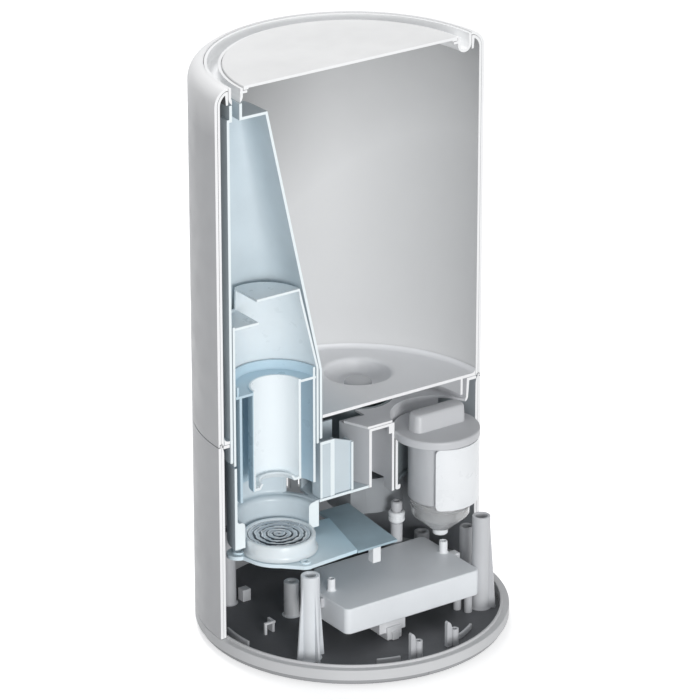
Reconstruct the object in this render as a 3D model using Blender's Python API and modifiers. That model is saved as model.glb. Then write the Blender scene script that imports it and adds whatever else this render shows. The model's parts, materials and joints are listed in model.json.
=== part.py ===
"""Cool mist humidifier, sectioned on its middle plane so that its inside shows.

The tank, lid, ducts, deck and outer housing are whole turned or lofted shapes, cut on the plane y = 0
so that their rear half (y > 0) is left. The tray, the nebuliser, the power box and the filter
cartridge are whole. Lengths in this file are millimetres; MM turns them into Blender's metres.
+Z is up and the origin is the centre of the underside of the feet.
"""
import math

import bmesh
import bpy
from mathutils import Matrix, Vector

MM = 0.001
GAP = 0.3                      # clearance between separate mouldings
SEGMENTS = 48                  # facets of a large turned shape
SMALL_SEGMENTS = 20            # facets of a small turned shape

# ---- driving dimensions -------------------------------------------------------------------
RADIUS = 100.0                 # outside of the housing
HEIGHT = 376.0                 # feet to crest of the shoulder
WALL = 4.0                     # outer wall of the housing and of the tank
THIN = 1.8                     # wall of the inner mouldings
FOOT_PROUD = 1.0               # how far the feet stand below the tray

TRAY_FLOOR = 6.0               # top of the tray's floor
TRAY_LEDGE = 12.0              # ledge that the housing stands on
TRAY_BAND = 5.2                # below this the side of the tray is set back
TRAY_SET_BACK = 1.4
TRAY_RIM_TOP = 13.6
TRAY_RIM_IN = 94.2

SEAM = 143.0                   # joint between base housing and tank
DECK_TOP = 129.0               # deck under the tank
RECESS_RADIUS = 91.0           # recess in the deck that takes the tank's skirt

DUCT_X = -57.0                 # axis of the mist path
DUCT_RADIUS = 34.3             # outside of the tank's duct where it is round
DUCT_BEND = 177.0              # height where the duct starts to lean
DUCT_TOP = 355.0
DUCT_TOP_RIGHT = -62.0         # right side of the duct at its top
DUCT_TOP_HALF_WIDTH = 28.0
DUCT_FOOT = 130.3

GUIDE_RADIUS = 31.7            # removable mist guide inside the duct
GUIDE_FOOT = 127.6
GUIDE_BEND = 179.0
GUIDE_TOP_RIGHT = -39.1        # right side of the guide at its upper baffle
GUIDE_LOW_BAFFLE = 219.6
GUIDE_HIGH_BAFFLE = 234.7

TUBE_X = -56.6                 # mist tube and its skirt
TUBE_RADIUS = 18.0
TUBE_FOOT = 108.0
FLANGE_Z = 172.0
SKIRT_X = -56.0
SKIRT_RADIUS = 28.2
SKIRT_FOOT = 101.6

BASIN_RADIUS = 31.5            # water basin over the transducer
BASIN_BORE = 24.0
BASIN_FOOT = 70.6
BASIN_SHOULDER = 88.0
BASIN_TOP = 126.0

PLATE_TOP = 65.0               # plate that carries the transducer
PLATE_THICK = 2.4
TRANSDUCER = (DUCT_X, -2.0)    # axis of the transducer
DISC_RADIUS = 19.5             # visible radius of the transducer

GROOVE_IN = 81.4               # mist groove around the lid
GROOVE_OUT = 88.0
GROOVE_Z = 368.4               # height where its walls meet its round bottom
CREST_RADIUS = 90.1            # inner edge of the shoulder
BEND = 11.5                    # radius of the shoulder
MIST_SLOT = (162, 198)         # angles between which the groove is open below, degrees
LID_RADIUS = 79.0
LID_TOP = 374.4

CAP = (59.5, -8.0)             # axis of the cartridge cap
CARTRIDGE = (61.9, -9.7)       # axis of the cartridge body
CAP_RADIUS = 27.8
CAP_Z = (115.6, 121.2)
CARTRIDGE_RADIUS = 20.9
CARTRIDGE_FOOT = 73.0
WELL_RADIUS = 29.6             # hole in the deck over the cartridge

VALVE = (36.0, 45.0)           # axis of the tank's outlet valve
BOWL_RADIUS = 20.0
BOWL_FLOOR = 131.4

FLOAT = (32.0, 57.6)           # axis of the water float

FAN = (46.0, 52.0)             # axis of the fan
FAN_Z = (52.0, 76.0)
FAN_RADIUS = 22.0

POWER_BOX = ((-41.0, -53.0, 19.5), (62.0, 9.0, 37.0))

COLOURS = {
    "shell_white": ((0.80, 0.81, 0.83), 0.35, 0.0),
    "inner_white": ((0.82, 0.88, 0.92), 0.30, 0.0),
    "tray_grey": ((0.45, 0.46, 0.48), 0.50, 0.0),
    "rubber": ((0.10, 0.10, 0.11), 0.80, 0.0),
    "board": ((0.35, 0.50, 0.55), 0.45, 0.0),
    "light_grey": ((0.68, 0.69, 0.71), 0.40, 0.0),
    "clear": ((0.80, 0.85, 0.87), 0.15, 0.0),
    "steel": ((0.70, 0.71, 0.72), 0.25, 1.0),
    "media": ((0.60, 0.55, 0.45), 0.80, 0.0),
}


# ---- helpers ------------------------------------------------------------------------------
def clear_scene():
    for item in list(bpy.data.objects):
        bpy.data.objects.remove(item, do_unlink=True)


def make_collection(name):
    group = bpy.data.collections.new(name)
    bpy.context.scene.collection.children.link(group)
    return group


clear_scene()
PARTS = make_collection("cool_mist_humidifier")
CUTTERS = make_collection("cutters")


def material(name):
    found = bpy.data.materials.get(name)
    if found:
        return found
    colour, roughness, metallic = COLOURS[name]
    made = bpy.data.materials.new(name)
    made.use_nodes = True
    shader = made.node_tree.nodes["Principled BSDF"]
    shader.inputs["Base Color"].default_value = (*colour, 1.0)
    shader.inputs["Roughness"].default_value = roughness
    shader.inputs["Metallic"].default_value = metallic
    return made


def add_object(name, mesh, finish=None, at=(0, 0, 0)):
    """Link a mesh as a part, or as a hidden cutter when it has no finish."""
    item = bpy.data.objects.new(name, mesh)
    item.location = Vector(at) * MM
    if finish:
        mesh.materials.append(material(finish))
        PARTS.objects.link(item)
    else:
        item.hide_render = True
        item.display_type = "WIRE"
        CUTTERS.objects.link(item)
    return item


def mesh_from(bm, name, smooth_angle=35):
    mesh = bpy.data.meshes.new(name)
    bm.to_mesh(mesh)
    bm.free()
    mesh.shade_smooth()
    mesh.set_sharp_from_angle(angle=math.radians(smooth_angle))
    return mesh


def box(name, low, high, finish=None):
    low, high = Vector(low), Vector(high)
    bm = bmesh.new()
    bmesh.ops.create_cube(bm, size=1.0)
    bmesh.ops.scale(bm, vec=(high - low) * MM, verts=bm.verts)
    return add_object(name, mesh_from(bm, name), finish, (low + high) / 2)


def cylinder(name, centre, radius, z_low, z_high, finish=None, segments=SMALL_SEGMENTS, top_radius=None):
    bm = bmesh.new()
    bmesh.ops.create_cone(bm, cap_ends=True, segments=segments, radius1=radius * MM,
                          radius2=(radius if top_radius is None else top_radius) * MM,
                          depth=(z_high - z_low) * MM)
    return add_object(name, mesh_from(bm, name), finish, (centre[0], centre[1], (z_low + z_high) / 2))


def turned(name, profile, finish=None, centre=(0, 0), segments=SEGMENTS, closed=True):
    """Turn (radius, height) points about a vertical axis; they run down the outer side."""
    bm = bmesh.new()
    points = [bm.verts.new((r * MM, 0, z * MM)) for r, z in profile]
    for first, second in zip(points, points[1:]):
        bm.edges.new((first, second))
    if closed:
        bm.edges.new((points[-1], points[0]))
    item = add_object(name, mesh_from(bm, name), finish, (*centre, 0))
    screw = item.modifiers.new("turn", "SCREW")
    screw.angle = math.tau
    screw.steps = segments
    screw.render_steps = segments
    screw.use_merge_vertices = True
    screw.merge_threshold = 0.00001
    screw.use_smooth_shade = True
    return item


def tube(name, centre, outer, inner, z_low, z_high, finish=None, segments=SMALL_SEGMENTS):
    profile = [(outer, z_high), (outer, z_low), (inner, z_low), (inner, z_high)]
    return turned(name, profile, finish, centre, segments)


def prism(name, outline, z_low, z_high, finish=None):
    """Extrude a plan outline, given anticlockwise, between two heights."""
    bm = bmesh.new()
    bottom = [bm.verts.new((x * MM, y * MM, z_low * MM)) for x, y in outline]
    top = [bm.verts.new((x * MM, y * MM, z_high * MM)) for x, y in outline]
    bm.faces.new(reversed(bottom))
    bm.faces.new(top)
    count = len(outline)
    for i in range(count):
        j = (i + 1) % count
        bm.faces.new((bottom[i], bottom[j], top[j], top[i]))
    return add_object(name, mesh_from(bm, name), finish)


def upright(name, outline, y_low, y_high, finish=None, at=(0, 0, 0)):
    """Extrude an (x, z) outline, given anticlockwise as seen from -Y, between two y values."""
    bm = bmesh.new()
    near = [bm.verts.new((x * MM, y_low * MM, z * MM)) for x, z in outline]
    far = [bm.verts.new((x * MM, y_high * MM, z * MM)) for x, z in outline]
    bm.faces.new(near)
    bm.faces.new(reversed(far))
    count = len(outline)
    for i in range(count):
        j = (i + 1) % count
        bm.faces.new((near[j], near[i], far[i], far[j]))
    return add_object(name, mesh_from(bm, name), finish, at)


def loft(name, rings, finish=None):
    """Skin equal-length rings of points, lowest first, each anticlockwise from above."""
    bm = bmesh.new()
    rows = [[bm.verts.new(Vector(point) * MM) for point in ring] for ring in rings]
    count = len(rows[0])
    for low, high in zip(rows, rows[1:]):
        for i in range(count):
            j = (i + 1) % count
            bm.faces.new((low[i], low[j], high[j], high[i]))
    bm.faces.new(reversed(rows[0]))
    bm.faces.new(rows[-1])
    return add_object(name, mesh_from(bm, name), finish)


def arc(centre, radius, start, end, steps):
    """Points on a circle in plan or profile, from start to end in degrees."""
    angles = [math.radians(start + (end - start) * i / steps) for i in range(steps + 1)]
    return [(centre[0] + radius * math.cos(a), centre[1] + radius * math.sin(a)) for a in angles]


def sector(inner, outer, start, end, steps=7):
    """Plan outline of part of a ring."""
    return arc((0, 0), outer, start, end, steps) + arc((0, 0), inner, end, start, steps)


def rounded_outline(low, high, radius, steps=4):
    """Plan outline of a rectangle with round corners."""
    (x0, y0), (x1, y1) = low, high
    corners = [((x1 - radius, y0 + radius), -90), ((x1 - radius, y1 - radius), 0),
               ((x0 + radius, y1 - radius), 90), ((x0 + radius, y0 + radius), 180)]
    return [point for centre, start in corners for point in arc(centre, radius, start, start + 90, steps)]


def boolean(target, tool, operation):
    change = target.modifiers.new(operation.lower(), "BOOLEAN")
    change.operation = operation
    change.solver = "EXACT"
    change.object = tool
    return target


def cut(target, *tools):
    for tool in tools:
        boolean(target, tool, "DIFFERENCE")
    return target


def join(target, *tools):
    for tool in tools:
        boolean(target, tool, "UNION")
    return target


# The block that removes the front half. Each cut shell gets it as its last cut.
SECTION = box("cutter_section", (-130, -130, -20), (130, 0, 420))


def half(item):
    return cut(item, SECTION)


# ---- base ---------------------------------------------------------------------------------
def hook_pin(name, x, y, height):
    """A tall split pin beside a shorter half tube, moulded on the tray."""
    pin = cylinder(name + "_pin", (x - 2.6, y), 1.9, TRAY_FLOOR - 1, height, segments=12)
    post = cylinder(name + "_post", (x + 2.2, y), 2.6, TRAY_FLOOR - 1, height - 6.5, segments=12)
    return [pin, post]


def socket_post(name, x, y, outer, bore, height, fins=()):
    """A hollow screw post with optional tapering fins at the given angles."""
    body = cylinder(name, (x, y), outer, TRAY_FLOOR - 1, height, segments=20)
    shapes = [body]
    outline = [(0, TRAY_FLOOR - 1), (outer + 4.0, TRAY_FLOOR - 1), (outer - 0.4, height - 2), (0, height - 2)]
    for angle in fins:
        fin = upright(f"{name}_fin_{angle}", outline, -0.8, 0.8, at=(x, y, 0))
        fin.rotation_euler.z = math.radians(angle)
        shapes.append(fin)
    hole = cylinder(name + "_bore", (x, y), bore, height - 14, height + 2, segments=16)
    return shapes, hole


def make_tray():
    side = RADIUS - TRAY_SET_BACK
    edge = arc((side - 3.0, FOOT_PROUD + 3.0), 3.0, 0, -90, 4)
    profile = [(0, TRAY_FLOOR), (TRAY_RIM_IN, TRAY_FLOOR), (TRAY_RIM_IN, TRAY_RIM_TOP),
               (RADIUS - WALL - GAP, TRAY_RIM_TOP), (RADIUS - WALL - GAP, TRAY_LEDGE),
               (RADIUS, TRAY_LEDGE), (RADIUS, TRAY_BAND), (side, TRAY_BAND), *edge, (0, FOOT_PROUD)]
    tray = turned("base_tray", profile, "tray_grey", closed=False)
    posts, holes = [], []
    for name, x, y, outer, bore, height, fins in (
            ("boss_front", -61.0, -42.0, 6.0, 3.4, 63.0, (0, 90, 180, 270)),
            ("boss_left", -36.5, 14.9, 5.0, 2.2, 29.5, ()),
            ("boss_right", 68.6, -44.5, 5.8, 3.8, 70.0, (-45,)),
            ("boss_right_rear", 80.5, -13.0, 4.6, 3.0, 47.5, ()),
            ("boss_rear_left", -60.0, 52.0, 5.0, 2.6, 58.0, (90,)),
            ("boss_rear_right", 79.0, 34.0, 5.0, 2.6, 26.0, (250,))):
        shapes, hole = socket_post(name, x, y, outer, bore, height, fins)
        posts += shapes
        holes.append(hole)
    posts += hook_pin("hook_left", -7.8, -80.0, 24.0) + hook_pin("hook_right", 21.2, -78.4, 23.4)
    posts.append(box("square_post", (-52, 47, TRAY_FLOOR - 1), (-46, 53, 14)))
    posts.append(box("clip_long", (-67, -0.4, TRAY_FLOOR - 1), (-59, 1.6, 14)))
    posts.append(box("clip_short", (-61, -0.4, TRAY_FLOOR - 1), (-59, 5.6, 14)))
    for name, start, end in (("rib_front", 246, 257), ("rib_right", 292, 304)):
        posts.append(prism(name, sector(79.4, 81.0, start, end), TRAY_FLOOR - 1, TRAY_FLOOR + 3.5))
    for i, (x, y) in enumerate(((-22, -24), (54.3, -39.0), (57.8, -46.0), (52, 2), (-22, 3))):
        posts.append(cylinder(f"power_stand_{i}", (x, y), 2.6, TRAY_FLOOR - 1, POWER_BOX[0][2] - GAP,
                              segments=12))
    join(tray, *posts)
    slots = [prism("cutter_tray_slot", sector(86.0, 92.0, -24, -8), -2, TRAY_FLOOR + 1)]
    slots += [box(f"cutter_intake_{i}", (26, 19 + 7 * i, -2), (60, 22.5 + 7 * i, TRAY_FLOOR + 1))
              for i in range(4)]
    return cut(tray, *holes, *slots)


def make_feet():
    for name, angle in (("foot_front_left", 225), ("foot_front_right", 315),
                        ("foot_rear_right", 45), ("foot_rear_left", 135)):
        at = (76 * math.cos(math.radians(angle)), 76 * math.sin(math.radians(angle)))
        cylinder(name, at, 8.0, 0, FOOT_PROUD - 0.02, "rubber", segments=20)


def make_housing():
    """Outer wall of the base, with a tongue on its top edge and an opening for the inlet."""
    profile = [(RADIUS, SEAM - GAP), (RADIUS, TRAY_LEDGE + GAP), (RADIUS - WALL, TRAY_LEDGE + GAP),
               (RADIUS - WALL, SEAM - 4), (RADIUS - WALL + 0.9, SEAM - GAP),
               (RADIUS - 2.6, SEAM - GAP), (RADIUS - 2.6, SEAM + 1.6), (RADIUS - 1.4, SEAM + 1.6),
               (RADIUS - 1.4, SEAM - GAP)]
    housing = turned("base_housing", profile, "shell_white")
    inlet = box("cutter_inlet", (-7.3, 80, 24.7), (7.3, 120, 37.3))
    slots = [box(f"cutter_rear_slot_{i}", (x - 1.5, 80, 50), (x + 1.5, 120, 74))
             for i, x in enumerate(range(-32, 33, 8))]
    return half(cut(housing, inlet, *slots))


def make_inlet():
    """Round low-voltage socket set in the rear wall; the lead is not part of this object."""
    body = box("dc_inlet", (-7.0, 88.5, 25.0), (7.0, 99.0, 37.0), "rubber")
    bore = cylinder("cutter_inlet_bore", (0, 0), 3.2, -9, 9)
    bore.location = Vector((0, 98.0, 31.0)) * MM
    bore.rotation_euler.x = math.pi / 2
    pin = cylinder("inlet_pin", (0, 0), 1.1, -4.5, 4.5, segments=12)
    pin.location = Vector((0, 92.8, 31.0)) * MM
    pin.rotation_euler.x = math.pi / 2
    return join(cut(body, bore), pin)


def make_deck():
    """Ring and plate under the tank, with the recess that takes the tank's skirt."""
    lip = 1.6
    profile = [(RADIUS - WALL + 0.4, SEAM + 0.6), (RADIUS - WALL + 0.4, SEAM - 1.4),
               (RECESS_RADIUS, SEAM - 1.4), (RECESS_RADIUS - 0.5, DECK_TOP + lip),
               (RECESS_RADIUS - 2.5, DECK_TOP - lip), (84.0, DECK_TOP - lip),
               (84.0, DECK_TOP), (RECESS_RADIUS - 3.6, DECK_TOP),
               (RECESS_RADIUS - 2.2, DECK_TOP + lip), (RECESS_RADIUS - 1.8, SEAM + 0.6)]
    deck = turned("base_deck", profile, "inner_white")
    edge = [(12.6, -1), (5.4, 17.0), (21.5, 17.0), (21.5, 30.0), (-3.0, 50.0), (-3.0, 84.9)]
    reach = arc((0, 0), 85.5, -0.7, 92.0, 16)
    plate = prism("deck_plate", [edge[0], *reach, *reversed(edge[1:])], DECK_TOP - 1.6, DECK_TOP)
    join(deck, plate)
    well = cylinder("cutter_well", CAP, WELL_RADIUS, 100, 160, segments=48)
    cup = cylinder("cutter_cup", VALVE, 22.6, 100, 160, segments=40)
    basin = cylinder("cutter_basin", (DUCT_X, 0), DUCT_RADIUS + 0.6, 100, 160, segments=48)
    return half(cut(deck, well, cup, basin))


def make_basin():
    """Water basin: a thick ring clamped over the transducer, with a wall rising to the deck."""
    ring = BASIN_RADIUS - THIN
    profile = [(BASIN_RADIUS, BASIN_TOP), (BASIN_RADIUS, BASIN_FOOT), (BASIN_BORE, BASIN_FOOT),
               (BASIN_BORE, BASIN_SHOULDER - 1.2), (BASIN_BORE + 1.2, BASIN_SHOULDER),
               (ring, BASIN_SHOULDER), (ring, BASIN_TOP)]
    basin = turned("mist_basin", profile, "inner_white", (DUCT_X, 0), 48)
    window = box("cutter_air_window", (DUCT_X + 10, -40, BASIN_SHOULDER + 0.6),
                 (DUCT_X + 40, 22.4, BASIN_TOP + 5))
    return half(cut(basin, window))


def make_air_channel():
    """Floor and walls that bring the fan's air from the air box to the basin."""
    floor = 88.6
    channel = prism("air_channel", [(-24.8, 0), (12.9, 0), (5.2, 17.7), (5.2, 30), (-12, 30), (-24.6, 22.0),
                                    (-26.4, 9.0)], floor - THIN, floor, "inner_white")
    back = prism("channel_back", [(-24.6, 20.6), (-12, 28.4), (4.4, 28.4), (4.4, 30), (-12.4, 30),
                                  (-24.6, 22.4)], floor - 1, DECK_TOP - 3)
    return join(channel, back)


def make_air_box():
    """Box between the channel's side wall and the cartridge well; open towards the section."""
    top = DECK_TOP - 1.6 - GAP
    outline = [(13.2, 0.0), (32.6, 0.0), (32.6, 9.0), (31.0, 22.0), (5.5, 22.0), (5.5, 17.7)]
    shell = prism("air_box", outline, 86.8, top, "inner_white")
    inside = [(17.3, -5), (30.8, -5), (30.8, 8.9), (29.3, 20.2), (7.3, 20.2), (7.3, 18.1)]
    hollow = prism("cutter_air_box", inside, 80.0, top - THIN)
    block = box("air_box_catch", (28.4, 0.0, 120.2), (31.4, 2.4, 126.0))
    skirt = box("air_box_skirt", (30.8, 0.0, 80.0), (32.6, 9.0, 90.0))
    return join(cut(shell, hollow), block, skirt)


def make_baffle():
    """Folded splash baffle standing on the channel's floor."""
    foot, top = 88.9, 127.6
    corner = [(-24.2, 0.0), (-13.4, 0.0), (-13.4, 2.9), (-14.8, 2.9), (-14.8, 1.6), (-22.4, 1.6),
              (-22.4, 9.0), (-24.2, 9.0)]
    left = prism("air_baffle", corner, foot, top, "inner_white")
    leaf = upright("baffle_leaf", [(-14.8, foot), (1.0, foot), (1.0, top - 5.5), (-14.8, top)], 1.3, 2.9)
    rib = box("baffle_rib", (-0.6, 0.0, foot), (1.0, 9.0, top - 5.6))
    return join(left, leaf, rib)


def make_well():
    """Wall around the rear of the cartridge, with a turned-in lip at its foot."""
    top = CAP_Z[0] - GAP
    profile = [(27.2, top), (27.2, 80.8), (26.4, 80.0), (23.9, 80.0), (23.9, 83.0), (25.0, 83.0),
               (25.4, 82.4), (25.4, top)]
    well = turned("cartridge_well", profile, "inner_white", CAP, 48)
    trim = box("cutter_well_side", (78, -40, 60), (110, 60, 140))
    return half(cut(well, trim))


def make_valve_cup():
    """Cup under the tank's valve with the pin that opens the valve and a post for the float."""
    profile = [(0, 105.8), (20.4, 105.8), (20.4, DECK_TOP), (22.2, DECK_TOP), (22.2, 104.0), (0, 104.0)]
    cup = turned("valve_cup", profile, "inner_white", VALVE, 32, closed=False)
    pin = cylinder("valve_pin", VALVE, 2.4, 105, 121.5, segments=12)
    post = cylinder("float_post", FLOAT, 1.8, 105, 122, segments=12)
    return join(cup, pin, post)


def make_float():
    return tube("water_float", FLOAT, 5.8, 2.2, 107.0, 113.0, "media", 20)


def plate_outline():
    """Plan outline of the nebuliser plate: a disc, two ears and the arm to the right."""
    ear = arc((-82.0, 7.0), 7.3, 75, 262, 8)
    front = arc(TRANSDUCER, 25.0, 198, 238, 5)
    lobe = arc((-56.0, -28.6), 6.4, 215, 290, 4)
    rear = arc(TRANSDUCER, 29.0, 40, 130, 8)
    return [*ear, *front, *lobe, (-18.8, -32.4), (-6.6, 16.0), (-30.0, 18.0), *rear]


def make_plate():
    plate = prism("nebuliser_plate", plate_outline(), PLATE_TOP - PLATE_THICK, PLATE_TOP, "inner_white")
    holes = [cylinder("cutter_ear_hole", (-81.5, 7.0), 2.1, 50, 80, segments=16),
             cylinder("cutter_lobe_hole", (-55.6, -29.0), 1.5, 50, 80, segments=16),
             cylinder("cutter_plate_bore", TRANSDUCER, 15.0, 50, 80, segments=40)]
    return cut(plate, *holes)


def make_board():
    """Driver board beside the plate, held on a small foot."""
    board = prism("driver_board", [(-18.4, -32.6), (12.0, -32.6), (18.0, 30.0), (-6.0, 30.0), (-6.0, 16.0)],
                  PLATE_TOP - PLATE_THICK - 0.4, PLATE_TOP - 1.2, "board")
    foot = box("board_support", (-5.6, -31.2, 51.0), (0.4, -25.4, PLATE_TOP - PLATE_THICK - 0.4 - GAP),
               "light_grey")
    return board, foot


def make_transducer():
    collar = [(22.6, 76.4), (23.6, 75.4), (23.6, PLATE_TOP + GAP), (16.5, PLATE_TOP + GAP),
              (16.5, 69.0), (DISC_RADIUS + 0.6, 69.0), (DISC_RADIUS + 0.6, 76.4)]
    turned("transducer_collar", collar, "light_grey", TRANSDUCER, 36)
    steps = 5
    ripple = [(DISC_RADIUS * i / steps, 74.0 + (0.7 if i % 2 else 0.0)) for i in range(steps + 1)]
    profile = [*ripple, (DISC_RADIUS, 69.4), (0, 69.4)]
    turned("transducer_disc", profile, "steel", TRANSDUCER, 32, closed=False)


def bevelled_outline(low, high, bevel):
    """Rectangle with three rounded corners and the rear left one cut off at 45 degrees."""
    points = rounded_outline(low, high, 3.0)
    quarter = len(points) // 4
    bevelled = [(low[0] + bevel, high[1]), (low[0], high[1] - bevel)]
    return [*points[:2 * quarter], *bevelled, *points[3 * quarter:]]


def make_power_box():
    """Cover of the power supply, open below, with two locating pegs on its top."""
    (x0, y0, z0), (x1, y1, z1) = POWER_BOX
    cover = prism("power_box", bevelled_outline((x0, y0), (x1, y1), 18.0), z0, z1, "light_grey")
    hollow = prism("cutter_power", bevelled_outline((x0 + 2, y0 + 2), (x1 - 2, y1 - 2), 17.0), z0 - 3, z1 - 2)
    pegs = [cylinder("peg_left", (-32.0, -23.0), 2.5, z1 - 1, z1 + 8.0, segments=16),
            cylinder("peg_right", (58.0, -18.5), 2.7, z1 - 1, z1 + 8.0, segments=16)]
    tabs = [box("power_tab_left", (x0 - 2.2, -28.0, z1 - 8.0), (x0 + 0.5, -23.0, z1 - 1.4)),
            box("power_tab_right", (x1 - 0.5, -24.0, z1 - 5.4), (x1 + 5.5, -18.0, z1 - 1.0))]
    join(cut(cover, hollow), *pegs, *tabs)
    edge = bevelled_outline((x0 + 3.5, y0 + 3.5), (x1 - 3.5, y1 - 3.5), 17.0)
    prism("power_board", edge, z0 + 4.0, z0 + 5.6, "board")
    box("power_transformer", (10, -32, z0 + 5.9), (30, -12, z1 - 2.6), "rubber")
    for i, (x, y) in enumerate(((-22, -30), (-22, -12))):
        cylinder(f"power_capacitor_{i + 1}", (x, y), 4.0, z0 + 5.9, z1 - 2.8, "rubber", 16)
    steps = [box("connector_block", (-14.0, -50.0, 11.0), (6.0, -38.0, z0 - GAP), "light_grey"),
             box("connector_step", (-9.0, -51.6, TRAY_FLOOR + GAP), (2.0, -40.0, 15.0)),
             box("connector_key", (-6.0, -53.2, TRAY_FLOOR + GAP), (-1.0, -45.0, 12.0))]
    join(steps[0], *steps[1:])


def make_sensor():
    at = (45.0, 14.6)
    profile = [(0, 64.0), (3.0, 64.0), (3.7, 63.2), (3.7, 58.2), (3.1, 57.6), (3.1, 49.0),
               (3.9, 48.4), (3.9, TRAY_FLOOR + GAP), (0, TRAY_FLOOR + GAP)]
    turned("sensor_post", profile, "light_grey", at, 20, closed=False)
    tube("sensor_collar", at, 5.3, 3.4, 50.0, 57.0, "shell_white", 20)


def make_fan():
    """Centrifugal fan under the air box: scroll, rotor and motor."""
    low, high = FAN_Z
    scroll = cylinder("fan_housing", FAN, FAN_RADIUS + 3, low, high, "tray_grey", 40)
    throat = box("fan_throat", (20.5, 31.0, low), (36.0, 46.0, high))
    join(scroll, throat)
    cavity = cylinder("cutter_fan", FAN, FAN_RADIUS + 1, low + 2, high - 2, segments=40)
    eye = cylinder("cutter_fan_eye", FAN, 12.0, low - 5, low + 5, segments=32)
    outlet = box("cutter_fan_outlet", (22.3, 32.8, low + 2), (34.0, 44.0, high + 5))
    cut(scroll, cavity, eye, outlet)
    rotor = cylinder("fan_rotor", FAN, 20.0, low + 3.4, low + 5.2, "rubber", 32)
    hub = cylinder("fan_hub", FAN, 8.0, low + 5.0, low + 18.2, segments=24)
    join(rotor, hub)
    blades = 12
    for i in range(blades):
        blade = box(f"fan_blade_{i}", (11.5, -0.7, low + 4.6), (19.0, 0.7, low + 17.0))
        turn = Matrix.Rotation(math.tau * i / blades, 4, "Z")
        blade.location = turn @ blade.location + Vector((*FAN, 0)) * MM
        blade.rotation_euler.z = math.tau * i / blades + math.radians(35)
        join(rotor, blade)
    cylinder("fan_motor", FAN, 7.5, low + 18.8, high - 2.3, "steel", 24)


# ---- tank ---------------------------------------------------------------------------------
def make_tank_shell():
    """Outer wall of the tank with its rounded shoulder and a return lip inside the crest."""
    centre = (RADIUS - BEND, HEIGHT - BEND)
    shoulder = arc(centre, BEND, 72, 0, 7)
    hollow = arc(centre, BEND - WALL, 0, 62, 4)
    inner = RADIUS - WALL
    flange = CREST_RADIUS + 1.6
    profile = [(CREST_RADIUS, HEIGHT - 0.6), (CREST_RADIUS + 0.7, HEIGHT), *shoulder,
               (RADIUS, SEAM + GAP), (RADIUS - 1.0, SEAM + GAP), (RADIUS - 1.0, SEAM + 2.0),
               (RADIUS - 3.0, SEAM + 2.0), (RADIUS - 3.0, SEAM + GAP + 0.6), (inner, SEAM + GAP + 0.6),
               *hollow, (flange, HEIGHT - 11.6), (CREST_RADIUS, HEIGHT - 11.6)]
    return half(turned("tank_shell", profile, "shell_white"))


def make_top_ring():
    """Grooved ring between the lid and the shoulder, open on the left for the mist."""
    middle, reach = (GROOVE_IN + GROOVE_OUT) / 2, (GROOVE_OUT - GROOVE_IN) / 2
    bottom = arc((middle, GROOVE_Z), reach + THIN, 0, -180, 6)
    inside = arc((middle, GROOVE_Z), reach, -180, 0, 6)
    wall = GROOVE_IN - THIN
    shelf = [(wall, 369.8), (wall - 3.2, 369.8), (wall - 3.2, 371.4), (wall, 371.4)]
    profile = [(GROOVE_OUT + THIN, HEIGHT - 1.1), *bottom, *shelf, (wall, 373.2), (GROOVE_IN, 373.2), *inside,
               (GROOVE_OUT, HEIGHT - 1.1)]
    ring = turned("top_ring", profile, "shell_white")
    angles = (MIST_SLOT[0] - 0.4, MIST_SLOT[1] + 0.4)
    slot = prism("cutter_mist_slot", sector(GROOVE_IN + 0.3, GROOVE_OUT - 0.5, *angles), 350, GROOVE_Z + 2)
    return half(cut(ring, slot))


def make_lid():
    profile = [(0, LID_TOP), (LID_RADIUS - 0.8, LID_TOP), (LID_RADIUS, LID_TOP - 0.8),
               (LID_RADIUS, 371.4 + GAP), (75.4, 371.4 + GAP), (75.4, LID_TOP - 1.9), (0, LID_TOP - 1.9)]
    return half(turned("lid", profile, "shell_white", closed=False))


def duct_section(height, inset=0.0, count=32):
    """Plan ring of the leaning duct: round below the bend, a wide rounded slot at the top."""
    share = max(0.0, min(1.0, (height - DUCT_BEND) / (DUCT_TOP - DUCT_BEND)))
    left = DUCT_X - DUCT_RADIUS
    right_low = DUCT_X + DUCT_RADIUS
    right = right_low + (DUCT_TOP_RIGHT - right_low) * share
    half_width = DUCT_RADIUS + (DUCT_TOP_HALF_WIDTH - DUCT_RADIUS) * share - inset
    centre, reach = (left + right) / 2, (right - left) / 2 - inset
    power = 2.0 / (2.0 + 3.0 * share)
    ring = []
    for i in range(count):
        angle = math.tau * (i + 0.5) / count
        c, s = math.cos(angle), math.sin(angle)
        x = centre + reach * math.copysign(abs(c) ** power, c)
        y = half_width * math.copysign(abs(s) ** power, s)
        ring.append((x, y, height))
    return ring


def make_duct():
    """Mist duct through the tank: round, leaning from the bend up, then a riser to the groove."""
    heights = [DUCT_FOOT, DUCT_BEND, DUCT_BEND + 40, DUCT_BEND + 90, DUCT_BEND + 135, DUCT_TOP]
    duct = loft("mist_duct", [duct_section(z) for z in heights], "inner_white")
    riser_top = GROOVE_Z - 4.6
    outside = sector(GROOVE_IN - 1.1, GROOVE_OUT + 1.4, *MIST_SLOT)
    riser = prism("riser_outside", outside, DUCT_TOP - 4, riser_top)
    join(duct, riser)
    inner_heights = [DUCT_FOOT - 5, *heights[1:-1], DUCT_TOP - THIN]
    hollow = loft("cutter_duct", [duct_section(z, THIN) for z in inner_heights])
    inner_slot = (MIST_SLOT[0] + 1.4, MIST_SLOT[1] - 1.4)
    throat = prism("cutter_riser", sector(GROOVE_IN + 0.8, GROOVE_OUT - 0.5, *inner_slot), DUCT_TOP - 6, 380)
    cut(duct, hollow, throat)
    return half(duct)


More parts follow.
